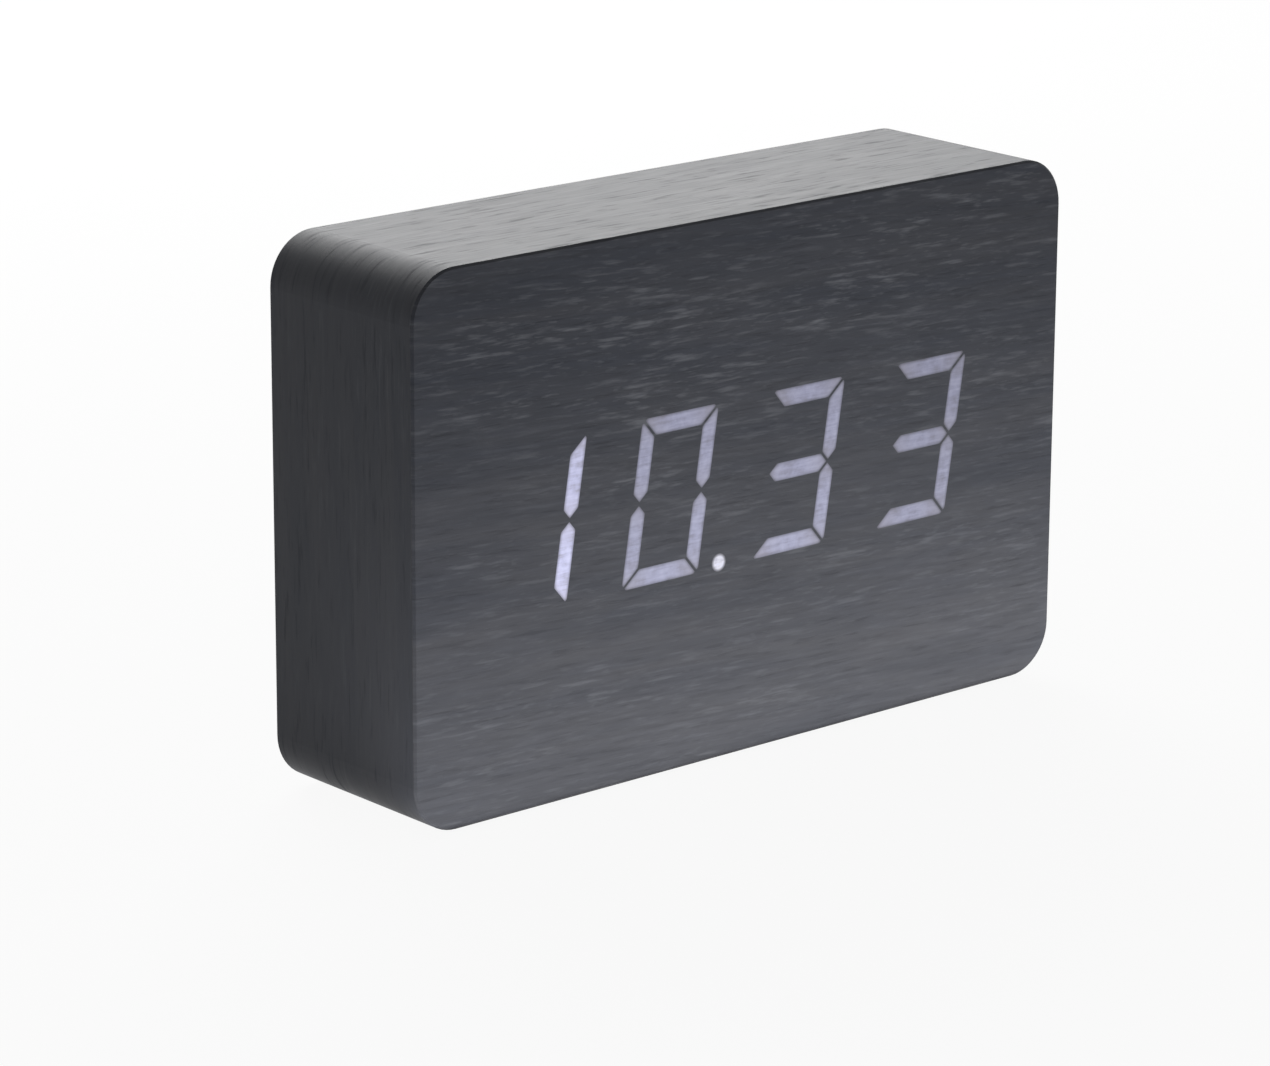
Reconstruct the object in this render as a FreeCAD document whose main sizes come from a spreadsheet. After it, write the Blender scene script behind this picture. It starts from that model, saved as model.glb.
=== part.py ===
import FreeCAD, Part
import math
import os
import re

import Sketcher

# A digital alarm clock in a veneered block of MDF.  Millimetres and degrees.
# X runs to the right, Y to the back, Z up from the table under the feet.
SIZES = {
    # the block
    "case_width": 150, "case_height": 97, "case_depth": 38.5, "corner_radius": 9,
    "veneer_thickness": 0.6, "veneer_ease": 0.4, "front_wall": 3, "rebate_margin": 7.5, "rebate_radius": 5,
    "ledge_width": 4.5, "cavity_radius": 4,
    # the feet
    "foot_height": 1, "foot_diameter": 8, "foot_inset_side": 15,
    "foot_inset_face": 8,
    # the display
    "display_lift": 1.1, "spacing_share": 0.2362, "digit_share": 0.1381, "shift_share": 0.0306,
    "digit_height": 29.6, "digit_slant": 9, "stroke_width": 3.2, "mitre_gap": 0.3,
    "corner_cut": 1, "point_diameter": 3.3, "point_offset": 13.5, "point_drop": 13.85,
    "film_thickness": 0.2, "reflector_depth": 8, "reflector_border_side": 1.7,
    "reflector_border_top": 3.75, "window_clearance": 0.4, "throat_share": 0.65,
    "throat_depth": 2.5,
    "ear_width": 8, "ear_reach": 6, "ear_thickness": 2.5, "ear_offset": 42,
    "stake_diameter": 1.6, "stake_head": 2.4, "stake_height": 0.7, "stake_offset_side": 1.8,
    "stake_clearance": 0.1, "board_thickness": 1.6, "led_length": 2, "led_width": 1.2,
    "led_height": 0.7, "led_spacing": 3.5,
    # the rear cover
    "cover_thickness": 2.2, "edge_bevel": 0.3, "cover_recess": 1.3, "cover_clearance": 0.3,
    "skirt_wall": 1.5, "skirt_height": 2.5, "skirt_clearance": 0.4, "screw_inset": 3.2,
    "frame_border": 2, "frame_thickness": 3.6, "frame_inset": 1, "boss_diameter": 5,
    "boss_inset": 4, "hole_clearance": 0.2,
    # screws
    "screw_diameter": 2.4, "screw_head": 4.6, "screw_head_height": 1.2, "screw_length": 10,
    "pilot_clearance": 0.05, "pilot_tip": 0.6, "short_screw_length": 4.5, "board_screw_diameter": 1.6,
    "board_screw_head": 3.4, "board_screw_length": 6, "pan_head_height": 1.3,
    "cross_slot": 0.7, "cross_span": 2.5, "cross_depth": 0.9,
    # the battery bay, for four AAA cells in a row
    "battery_diameter": 10.5, "battery_length": 44.5, "battery_nub": 3.8, "nub_height": 0.8,
    "battery_spacing": 10.9, "bay_play": 0.4, "bay_wall": 1.5,
    "spring_reach": 4.4, "contact_thickness": 0.4, "contact_width": 8, "contact_height": 9,
    "tongue_width": 4, "tail_width": 3, "tail_reach": 3.1, "tail_level": 1.6, "slot_play": 0.2,
    "cell_headroom": 0.5, "cell_floor_gap": 0.1, "cradle_height": 1.2, "cradle_width": 1.4,
    # the battery door
    "door_thickness": 1.8, "door_lap_end": 2.6, "door_lap_side": 1.2, "door_clearance": 0.3,
    "door_radius": 1.5, "door_tab_width": 6, "door_tab_reach": 2, "door_tab_thickness": 0.9,
    "door_tab_offset": 14, "door_slot_depth": 3, "latch_width": 10, "latch_depth": 2.6,
    "latch_thickness": 0.8, "latch_gap": 0.15, "notch_diameter": 13, "notch_depth": 1.2,
    "grip_rib": 0.9, "grip_rib_length": 14, "grip_rib_height": 0.35, "grip_rib_spacing": 2.4,
    "grip_inset": 7,
    # the main board and what it carries
    "bay_gap": 8, "main_board_height": 62, "board_gap": 0.6, "board_standoff": 6,
    "column_share": 0.31,
    "chip_length": 17.9, "chip_width": 7.5, "chip_height": 2.3, "leg_spacing": 1.27,
    "leg_width": 0.45, "leg_reach": 1.4, "leg_count": 14,
    "driver_length": 9.9, "driver_width": 3.9, "driver_height": 1.6, "driver_leg_count": 8,
    "crystal_diameter": 2, "crystal_length": 6,
    "capacitor_diameter": 6, "capacitor_height": 5.4, "capacitor_base": 6.6,
    "capacitor_base_height": 1, "resistor_length": 1.6, "resistor_width": 0.8,
    "resistor_height": 0.5, "resistor_count": 8,
    "transistor_length": 2.9, "transistor_width": 1.5, "transistor_height": 1,
    "transistor_count": 4,
    "buzzer_diameter": 12, "buzzer_height": 5.4, "buzzer_hole": 2, "grille_hole": 1.6,
    "grille_circle": 7, "microphone_diameter": 6, "microphone_height": 2.7,
    "microphone_hole": 1.5, "sensor_bead": 2.4, "sensor_lead": 0.5, "sensor_height": 4.5,
    "socket_width": 9, "socket_collar": 6.4, "socket_bore": 3.7, "socket_pin": 1.3,
    "socket_floor": 0.9, "socket_pin_recess": 0.6, "socket_gap": 0.1,
    # the buttons on the back and the switches behind them
    "button_diameter": 6.8, "button_flange": 9, "flange_thickness": 1, "button_proud": 0.7,
    "button_edge": 0.3, "button_spacing": 13, "button_row": 17, "button_travel": 0.5,
    "running_fit": 0.1, "switch_width": 6, "switch_height": 3.5, "plunger_diameter": 3.5,
    "plunger_seat": 0.8, "plunger_room": 0.3,
    # the wires inside
    "lead_diameter": 1.3, "lead_bend": 4, "lead_loop_depth": 8, "lead_inset": 5,
    "lead_gap": 0.15, "ribbon_width": 14, "ribbon_thickness": 0.9, "bend_share": 0.39,
    "header_width": 16, "header_height": 5, "header_rise": 4, "ribbon_drop": 10,
    "header_level": 22,
}

# Places worked out from the sizes, by name.
PLACES = {
    "front_y": "-case_depth / 2", "rear_y": "case_depth / 2",
    "middle_z": "foot_height + case_height / 2",
    "core_front_y": "front_y + veneer_thickness", "core_rear_y": "rear_y - veneer_thickness",
    "wall_back_y": "core_front_y + front_wall",
    "rebate_width": "case_width - 2 * rebate_margin",
    "rebate_height": "case_height - 2 * rebate_margin",
    "cavity_width": "rebate_width - 2 * ledge_width",
    "cavity_height": "rebate_height - 2 * ledge_width",
    # the rear cover
    "cover_outer_y": "rear_y - cover_recess", "cover_inner_y": "cover_outer_y - cover_thickness",
    "cover_width": "rebate_width - 2 * cover_clearance",
    "cover_height": "rebate_height - 2 * cover_clearance",
    "cover_radius": "rebate_radius - cover_clearance",
    "skirt_width": "cavity_width - 2 * skirt_clearance",
    "skirt_depth": "cavity_height - 2 * skirt_clearance",
    "skirt_radius": "cavity_radius - skirt_clearance",
    "screw_x": "cover_width / 2 - screw_inset", "screw_z": "cover_height / 2 - screw_inset",
    "pilot_radius": "screw_diameter / 2 + pilot_clearance",
    # the display, whose digits lean to the right
    "digit_spacing": "cavity_width * spacing_share", "digit_width": "cavity_width * digit_share",
    "display_x": "-cavity_width * shift_share", "display_z": "middle_z + display_lift",
    "half_width": "digit_width / 2", "half_height": "digit_height / 2",
    "reflector_width": "3 * digit_spacing + digit_width + digit_height * tan(digit_slant)"
                       " + 2 * reflector_border_side",
    "reflector_height": "digit_height + 2 * reflector_border_top",
    "film_back_y": "core_front_y + film_thickness",
    "reflector_back_y": "film_back_y + reflector_depth",
    "display_board_back_y": "reflector_back_y + board_thickness",
    "ear_z": "reflector_height / 2 + ear_reach / 2",
    "ear_back_y": "wall_back_y + ear_thickness",
    "stake_x": "reflector_width / 2 - 2 * stake_offset_side",
    "stake_z": "reflector_height / 2 - stake_offset_side",
    # the battery bay
    "bay_length": "battery_length + 2 * contact_thickness + spring_reach",
    "bay_width": "4 * battery_spacing + bay_play",
    "door_length": "bay_length + 2 * door_lap_end", "door_width": "bay_width + 2 * door_lap_side",
    "door_inner_y": "cover_outer_y - door_thickness",
    "recess_length": "door_length + 2 * door_clearance",
    "recess_width": "door_width + 2 * door_clearance",
    "frame_length": "recess_length + 2 * frame_border",
    "frame_width": "recess_width + 2 * frame_border",
    "bay_x": "-skirt_width / 2 + frame_inset + frame_length / 2",
    "bay_left": "bay_x - bay_length / 2", "bay_right": "bay_x + bay_length / 2",
    "tub_right": "bay_right + bay_wall",
    "battery_y": "door_inner_y - cell_headroom - battery_diameter / 2",
    "bay_floor_y": "battery_y - battery_diameter / 2 - cell_floor_gap",
    "hinge_x": "bay_x - door_length / 2",
    "tail_y": "bay_floor_y + tail_level",
    "latch_x": "tub_right + latch_gap + latch_thickness / 2",
    # the main board
    "board_right": "skirt_width / 2 - skirt_wall - board_gap",
    "main_board_width": "board_right - tub_right - bay_gap",
    "board_x": "board_right - main_board_width / 2",
    "board_column": "main_board_width * column_share",
    "resistor_spacing": "board_column / 8", "transistor_spacing": "board_column / 4",
    "board_rear_y": "cover_inner_y - board_standoff",
    "board_front_y": "board_rear_y - board_thickness",
    "boss_x": "main_board_width / 2 - boss_inset", "boss_z": "main_board_height / 2 - boss_inset",
    # the buttons
    "flange_front_y": "cover_inner_y - flange_thickness",
    "switch_top_y": "board_rear_y + switch_height",
    "button_z": "middle_z + button_row",
    "buzzer_x": "board_x - main_board_width / 4", "buzzer_z": "middle_z - main_board_height / 5",
    "microphone_x": "board_x + main_board_width / 24",
    "microphone_z": "middle_z - main_board_height / 3",
    "socket_x": "board_x + main_board_width / 4", "socket_z": "middle_z - main_board_height / 4",
    "lead_start_x": "tub_right + lead_gap + lead_diameter / 2",
    "lead_end_x": "board_x - main_board_width / 2 + lead_inset",
    "lead_low_y": "board_front_y - lead_loop_depth",
    "header_z": "middle_z - header_level",
    "display_header_z": "header_z + ribbon_drop",
    "header_face_y": "board_front_y - header_rise",
    "display_header_face_y": "display_board_back_y + header_rise",
    "ribbon_bend": "(header_face_y - display_header_face_y) * bend_share",
}

doc = FreeCAD.newDocument("clock")
sheet = doc.addObject("Spreadsheet::Sheet", "dims")
for row, (alias, size) in enumerate(SIZES.items(), start=1):
    sheet.set(f"A{row}", alias)
    sheet.set(f"B{row}", str(size))
    sheet.setAlias(f"B{row}", alias)
doc.recompute()


def spelled(expression):
    """Write an expression out in cells of the sheet."""
    def spell(match):
        word = match.group()
        if word in SIZES:
            return "dims." + word
        return "(" + spelled(PLACES[word]) + ")" if word in PLACES else word
    return re.sub(r"[a-z_]\w*", spell, expression)


def mm(expression):
    """The present value of an expression."""
    return float(sheet.evalExpression(spelled(expression)))


# Each shape below draws its geometry in a sketch and returns its constraints, as pairs of a
# constraint and the expression that its value follows, or None where it has no value.
def plain(kind, *where):
    return Sketcher.Constraint(kind, *where), None


def sized(kind, *where, to):
    return Sketcher.Constraint(kind, *where, mm(to)), to


def fixed(geometry, point, x, y):
    """Hold a point of the sketch at two expressions."""
    return [sized("DistanceX", -1, 1, geometry, point, to=x),
            sized("DistanceY", -1, 1, geometry, point, to=y)]


def circle(diameter, x="0", y="0"):
    def draw(sketch):
        centre = FreeCAD.Vector(mm(x), mm(y), 0)
        ring = sketch.addGeometry(Part.Circle(centre, FreeCAD.Vector(0, 0, 1), mm(diameter) / 2))
        return [sized("Diameter", ring, to=diameter), *fixed(ring, 3, x, y)]
    return draw


def polygon(*points):
    def draw(sketch):
        corners = [FreeCAD.Vector(mm(x), mm(y), 0) for x, y in points]
        first, rules = sketch.GeometryCount, []
        for index, corner in enumerate(corners):
            sketch.addGeometry(Part.LineSegment(corner, corners[(index + 1) % len(corners)]))
        for index, (x, y) in enumerate(points):
            following = first + (index + 1) % len(points)
            rules += [plain("Coincident", first + index, 2, following, 1),
                      *fixed(first + index, 1, x, y)]
        return rules
    return draw


def rectangle(width, height, x="0", y="0"):
    left, right = f"({x}) - ({width}) / 2", f"({x}) + ({width}) / 2"
    low, high = f"({y}) - ({height}) / 2", f"({y}) + ({height}) / 2"
    return polygon((left, low), (right, low), (right, high), (left, high))


def rounded(width, height, radius, x="0", y="0"):
    """A rectangle with round corners: four sides tangent to four arcs."""
    def draw(sketch):
        across, up, bend = mm(width) / 2, mm(height) / 2, mm(radius)
        middle = FreeCAD.Vector(mm(x), mm(y), 0)
        first, rules = sketch.GeometryCount, []
        signs = [(1, -1), (1, 1), (-1, 1), (-1, -1)]
        for quarter, (right, top) in enumerate(signs):
            centre = middle + FreeCAD.Vector(right * (across - bend), top * (up - bend), 0)
            ring = Part.Circle(centre, FreeCAD.Vector(0, 0, 1), bend)
            start = math.radians(90 * (quarter - 1))
            sketch.addGeometry(Part.ArcOfCircle(ring, start, start + math.radians(90)))
        for quarter in range(4):
            arc, following = first + quarter, first + (quarter + 1) % 4
            start, end = sketch.getPoint(arc, 2), sketch.getPoint(following, 1)
            side = sketch.addGeometry(Part.LineSegment(start, end))
            rules += [plain("Tangent", arc, 2, side, 1), plain("Tangent", side, 2, following, 1)]
        for quarter, (right, top) in enumerate(signs):
            rules += [sized("Radius", first + quarter, to=radius),
                      *fixed(first + quarter, 3, f"({x}) + {right} * (({width}) / 2 - ({radius}))",
                             f"({y}) + {top} * (({height}) / 2 - ({radius}))")]
        return rules
    return draw


def bent_path(start, middle, end, bend, upright):
    """Three runs at right angles, joined by two tangent arcs.

    The first and last runs are upright or level; middle is where the other run lies.
    """
    def draw(sketch):
        corner_a = (start[0], middle) if upright else (middle, start[1])
        corner_b = (end[0], middle) if upright else (middle, end[1])
        stops = [FreeCAD.Vector(mm(x), mm(y), 0) for x, y in (start, corner_a, corner_b, end)]
        runs, rules, radius = [], [], mm(bend)
        for index in range(3):
            ahead = (stops[index + 1] - stops[index]).normalize()
            near = stops[index] + ahead * (radius if index > 0 else 0)
            far = stops[index + 1] - ahead * (radius if index < 2 else 0)
            runs.append((near, far, ahead))
        for index, (near, far, ahead) in enumerate(runs):
            sketch.addGeometry(Part.LineSegment(near, far))
            rules.append(plain("Vertical" if upright == (index % 2 == 0) else "Horizontal", index))
        for index in range(2):
            far, near = runs[index][1], runs[index + 1][0]
            centre = far + runs[index + 1][2] * radius
            halfway = (far + near) / 2 - centre
            waypoint = centre + halfway.normalize() * radius
            arc = sketch.addGeometry(Part.Arc(far, waypoint, near))
            first_end = 1 if sketch.getPoint(arc, 1).distanceToPoint(far) < radius / 2 else 2
            rules += [plain("Tangent", index, 2, arc, first_end),
                      plain("Tangent", arc, 3 - first_end, index + 1, 1),
                      sized("Radius", arc, to=bend)]
        across = "DistanceY" if upright else "DistanceX"
        return rules + [*fixed(0, 1, *start), *fixed(2, 2, *end),
                        sized(across, -1, 1, 1, 1, to=middle)]
    return draw


class Piece:
    """One sub-part: a body whose features are set out from the sheet."""

    def __init__(self, label):
        self.body = doc.addObject("PartDesign::Body", label)
        self.body.Label = label
        self.body.AllowCompound = True

    def sketch(self, name, shapes, plane="XZ_Plane", depth="0", x="0", y="0"):
        sketch = self.body.newObject("Sketcher::SketchObject", name)
        base = next(item for item in self.body.Origin.OriginFeatures if item.Role == plane)
        sketch.AttachmentSupport = [(base, "")]
        sketch.MapMode = "FlatFace"
        for axis, expression in (("x", x), ("y", y), ("z", depth)):
            sketch.setExpression(f"AttachmentOffset.Base.{axis}", spelled(expression))
        rules = [rule for shape in shapes for rule in shape(sketch)]
        sketch.addConstraint([constraint for constraint, _ in rules])
        for index, (_, expression) in enumerate(rules):
            if expression is not None:
                sketch.setExpression(f"Constraints[{index}]", spelled(expression))
        return sketch

    def feature(self, kind, name, sketch, **settings):
        feature = self.body.newObject(f"PartDesign::{kind}", name)
        feature.Profile = sketch
        for setting, content in settings.items():
            if isinstance(content, str):
                feature.setExpression(setting, spelled(content))
            else:
                setattr(feature, setting, content)
        return feature

    def pad(self, name, *shapes, start, end, **settings):
        """Add material from one depth to another, front to back."""
        sketch = self.sketch(f"{name}_outline", shapes, depth=f"-({start})")
        return self.feature("Pad", name, sketch, Reversed=True, Length=f"({end}) - ({start})",
                            **settings)

    def pocket(self, name, *shapes, start, end, **settings):
        """Cut material away from one depth to another, front to back."""
        sketch = self.sketch(f"{name}_outline", shapes, depth=f"-({start})")
        return self.feature("Pocket", name, sketch, Length=f"({end}) - ({start})", **settings)

    def turn(self, name, *profile, plane="XY_Plane", axis="V_Axis", cut=False, **place):
        """Revolve a half profile about an axis of its sketch."""
        sketch = self.sketch(f"{name}_profile", [polygon(*profile)], plane=plane, **place)
        kind = "Groove" if cut else "Revolution"
        return self.feature(kind, name, sketch, ReferenceAxis=(sketch, [axis]), Angle=360.0)

    def sweep(self, name, path, section, path_place, section_place):
        """Carry a section along a path."""
        spine = self.sketch(f"{name}_path", [path], **path_place)
        profile = self.sketch(f"{name}_section", [section], **section_place)
        return self.feature("AdditivePipe", name, profile, Spine=(spine, [""]))

    def repeat(self, name, features, pitch, count):
        """Copy features along X."""
        pattern = self.body.newObject("PartDesign::LinearPattern", name)
        pattern.Originals = features
        axis = next(item for item in self.body.Origin.OriginFeatures if item.Role == "X_Axis")
        pattern.Direction = (axis, [""])
        pattern.Occurrences = count
        pattern.setExpression("Length", spelled(f"{count - 1} * {pitch}"))
        self.body.Tip = pattern

    def bevel(self, name, size, depth):
        """Bevel the edges of the newest feature that lie at one depth."""
        doc.recompute()
        base = self.body.Tip
        edges = [f"Edge{number}" for number, edge in enumerate(base.Shape.Edges, start=1)
                 if abs(edge.BoundBox.YMin - mm(depth)) + abs(edge.BoundBox.YMax - mm(depth)) < 1e-4]
        feature = self.body.newObject("PartDesign::Chamfer", name)
        feature.Base = (base, edges)
        feature.setExpression("Size", spelled(size))


def corners(x, y, middle_x="0", middle_y="middle_z"):
    """Four places about a middle."""
    return [(f"{middle_x} {side} {x}", f"{middle_y} {rise} {y}") for side in "-+" for rise in "-+"]


# ---------------------------------------------------------------- the block
def make_core():
    """The MDF block: routed out from the back, with a window for the display in front."""
    core = Piece("mdf_core")
    core.pad("block", rounded("case_width - 2 * veneer_thickness", "case_height - 2 * veneer_thickness",
                              "corner_radius - veneer_thickness", y="middle_z"),
             start="core_front_y", end="core_rear_y")
    core.pocket("cavity", rounded("cavity_width", "cavity_height", "cavity_radius", y="middle_z"),
                start="wall_back_y", end="core_rear_y")
    core.pocket("rebate", rounded("rebate_width", "rebate_height", "rebate_radius", y="middle_z"),
                start="cover_inner_y", end="core_rear_y")
    core.pocket("window", rectangle("reflector_width + 2 * window_clearance",
                                    "reflector_height + 2 * window_clearance",
                                    "display_x", "display_z"),
                start="core_front_y", end="wall_back_y")
    core.pocket("cover_pilots", *[circle("2 * pilot_radius", x, z)
                                  for x, z in corners("screw_x", "screw_z")],
                start="cover_outer_y - screw_length - pilot_tip", end="cover_inner_y")
    core.pocket("display_pilots", *[circle("2 * pilot_radius", x, z) for x, z in ear_places()],
                start="ear_back_y - short_screw_length - pilot_clearance", end="wall_back_y")


def make_veneers():
    """Veneer on every outer face: a band round the sides, a front sheet and a rear sheet."""
    outer = rounded("case_width", "case_height", "corner_radius", y="middle_z")
    band = Piece("veneer_band")
    band.pad("wrap", outer,
             rounded("case_width - 2 * veneer_thickness", "case_height - 2 * veneer_thickness",
                     "corner_radius - veneer_thickness", y="middle_z"),
             start="core_front_y", end="core_rear_y")
    front = Piece("front_veneer")
    front.pad("sheet", outer, start="front_y", end="core_front_y")
    front.bevel("eased_edge", "veneer_ease", "front_y")
    for number, (lit, place) in enumerate(zip(LIT_SEGMENTS, digit_places()), start=1):
        front.pocket(f"digit_{number}", *[segment(letter, place) for letter in lit],
                     start="front_y", end="core_front_y")
    front.pocket("point", decimal_point(), start="front_y", end="core_front_y")
    rear = Piece("rear_veneer")
    rear.pad("sheet", outer, start="core_rear_y", end="rear_y")
    rear.bevel("eased_edge", "veneer_ease", "rear_y")
    rear.pocket("opening", rounded("rebate_width", "rebate_height", "rebate_radius", y="middle_z"),
                start="core_rear_y", end="rear_y")


def make_feet():
    """Four thin rubber pads stuck under the block."""
    for across, side in (("-", "left"), ("+", "right")):
        for deep, end in (("-", "front"), ("+", "rear")):
            foot = Piece(f"foot_{end}_{side}")
            foot.turn("pad", ("0", "0"), ("foot_diameter / 2", "0"),
                      ("foot_diameter / 2", "foot_height"), ("0", "foot_height"),
                      plane="XZ_Plane", x=f"{across}(case_width / 2 - foot_inset_side)",
                      depth=f"-({deep}(case_depth / 2 - foot_inset_face))")


# -------------------------------------------------------------- the display
# The segments that are lit, digit by digit, so that the clock reads 10.33.
LIT_SEGMENTS = ["bc", "abcdef", "abcdg", "abcdg"]
# Where the two chips of a segment sit, as shares of their spacing.
CHIP_STEPS = (-0.5, 0.5)


def digit_places():
    """The middle of each digit, left to right."""
    return [f"display_x + {step} * digit_spacing" for step in (-1.5, -0.5, 0.5, 1.5)]


def lean(x, z, place):
    """A point of an upright digit, leaned over and moved to its place."""
    return f"{place} + ({x}) + ({z}) * tan(digit_slant)", f"display_z + ({z})"


def segment(letter, place, share="1"):
    """One segment of a digit, mitred where it meets its neighbours, or a smaller copy of it."""
    tip_in, tip_out = "(corner_cut + mitre_gap) / 2", "(corner_cut - mitre_gap) / 2"
    bar = [("-(half_width - corner_cut)", "half_height"), ("half_width - corner_cut", "half_height"),
           (f"half_width - {tip_in}", f"half_height - {tip_out}"),
           ("half_width - stroke_width - mitre_gap", "half_height - stroke_width"),
           ("-(half_width - stroke_width - mitre_gap)", "half_height - stroke_width"),
           (f"-(half_width - {tip_in})", f"half_height - {tip_out}")]
    upright = [("half_width", "half_height - corner_cut"),
               (f"half_width - {tip_out}", f"half_height - {tip_in}"),
               ("half_width - stroke_width", "half_height - stroke_width - mitre_gap"),
               ("half_width - stroke_width", "stroke_width / 2 + mitre_gap"),
               ("half_width - stroke_width / 2", "mitre_gap"),
               ("half_width", "stroke_width / 2 + mitre_gap")]
    waist = "half_width - stroke_width - mitre_gap"
    tip = "half_width - stroke_width / 2 - mitre_gap"
    middle = [(f"-({tip})", "0"), (f"-({waist})", "stroke_width / 2"), (waist, "stroke_width / 2"),
              (tip, "0"), (waist, "-stroke_width / 2"), (f"-({waist})", "-stroke_width / 2")]
    bar_middle = "0", "half_height - stroke_width / 2"
    upright_middle = "half_width - stroke_width / 2", "half_height / 2"
    outline, (middle_x, middle_z), across, up = {
        "a": (bar, bar_middle, "", ""), "d": (bar, bar_middle, "", "-"),
        "g": (middle, ("0", "0"), "", ""),
        "b": (upright, upright_middle, "", ""), "c": (upright, upright_middle, "", "-"),
        "f": (upright, upright_middle, "-", ""), "e": (upright, upright_middle, "-", "-")}[letter]
    if share != "1":
        outline = [(f"{middle_x} + ({x} - ({middle_x})) * {share}",
                    f"{middle_z} + ({z} - ({middle_z})) * {share}") for x, z in outline]
    return polygon(*[lean(f"{across}({x})", f"{up}({z})", place) for x, z in outline])


def decimal_point():
    return circle("point_diameter", *lean("point_offset", "-point_drop", digit_places()[1]))


def ear_places():
    return corners("ear_offset", "ear_z", "display_x", "display_z")


def stake_places():
    """Where the reflector is staked to its board."""
    return corners("stake_x", "stake_z", "display_x", "display_z")


def make_lit_segments():
    """What shines through the veneer, set flush in it, one node to a digit."""
    names = ["lit_digit_hour_tens", "lit_digit_hours", "lit_digit_minute_tens", "lit_digit_minutes"]
    for name, lit, place in zip(names, LIT_SEGMENTS, digit_places()):
        digit = Piece(name)
        digit.pad("light", *[segment(letter, place) for letter in lit],
                  start="front_y", end="core_front_y")
    point = Piece("lit_point")
    point.pad("light", decimal_point(), start="front_y", end="core_front_y")


def make_display():
    """Diffuser film, reflector block, its board and the chips in the bottom of each light well.

    Each well is a segment wide at its mouth and steps in to a throat round its two chips.
    """
    film = Piece("diffuser_film")
    film.pad("sheet", rectangle("reflector_width", "reflector_height", "display_x", "display_z"),
             start="core_front_y", end="film_back_y")

    reflector = Piece("display_reflector")
    reflector.pad("block", rectangle("reflector_width", "reflector_height", "display_x", "display_z"),
                  start="film_back_y", end="reflector_back_y")
    reflector.pad("ears", *[rectangle("ear_width", "ear_reach", x, z) for x, z in ear_places()],
                  start="wall_back_y", end="ear_back_y")
    mouths = reflector.pocket("mouths", *[segment(letter, digit_places()[0]) for letter in "abcdefg"],
                              start="film_back_y", end="reflector_back_y - throat_depth")
    throats = reflector.pocket("throats", *[segment(letter, digit_places()[0], "throat_share")
                                            for letter in "abcdefg"],
                               start="reflector_back_y - throat_depth", end="reflector_back_y")
    reflector.repeat("digits", [mouths, throats], "digit_spacing", len(LIT_SEGMENTS))
    reflector.pocket("point_well", decimal_point(), start="film_back_y", end="reflector_back_y")
    reflector.pocket("ear_holes", *[circle("screw_diameter + hole_clearance", x, z)
                                    for x, z in ear_places()],
                     start="wall_back_y", end="ear_back_y")
    reflector.pad("stakes", *[circle("stake_diameter", x, z) for x, z in stake_places()],
                  start="reflector_back_y", end="display_board_back_y")
    reflector.pad("stake_heads", *[circle("stake_head", x, z) for x, z in stake_places()],
                  start="display_board_back_y", end="display_board_back_y + stake_height")

    board = Piece("display_board")
    board.pad("panel", rectangle("reflector_width", "reflector_height", "display_x", "display_z"),
              *[circle("stake_diameter + 2 * stake_clearance", x, z) for x, z in stake_places()],
              start="reflector_back_y", end="display_board_back_y")

    chips = Piece("segment_leds")
    bar_level, upright_level = "half_height - stroke_width / 2", "half_height / 2"
    upright_side = "half_width - stroke_width / 2"
    spots = [(f"{step} * led_spacing", level, "led_length", "led_width")
             for step in CHIP_STEPS for level in (f"-({bar_level})", "0", bar_level)]
    spots += [(side, f"{half}({upright_level}) + {step} * led_spacing", "led_width", "led_length")
              for step in CHIP_STEPS for half in "-+"
              for side in (f"-({upright_side})", upright_side)]
    first = chips.pad("digit", *[rectangle(wide, high, *lean(x, z, digit_places()[0]))
                                 for x, z, wide, high in spots],
                      start="reflector_back_y - led_height", end="reflector_back_y")
    chips.repeat("digits", [first], "digit_spacing", len(LIT_SEGMENTS))
    chips.pad("point", rectangle("led_width", "led_width",
                                 *lean("point_offset", "-point_drop", digit_places()[1])),
              start="reflector_back_y - led_height", end="reflector_back_y")


# ------------------------------------------------------------------- screws
def add_crosses(piece, places, start, end):
    """The cross recess in each head, for the screwdriver."""
    arm, slot = "cross_span / 2", "cross_slot / 2"
    turn = [(slot, slot), (slot, arm), (f"-{slot}", arm), (f"-{slot}", slot),
            (f"-{arm}", slot), (f"-{arm}", f"-{slot}"), (f"-{slot}", f"-{slot}"),
            (f"-{slot}", f"-{arm}"), (slot, f"-{arm}"), (slot, f"-{slot}"), (arm, f"-{slot}"),
            (arm, slot)]
    for number, (x, z) in enumerate(places, start=1):
        piece.pocket(f"cross_{number}", polygon(*[(f"{x} + {across}", f"{z} + {up}")
                                                  for across, up in turn]), start=start, end=end)


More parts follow.
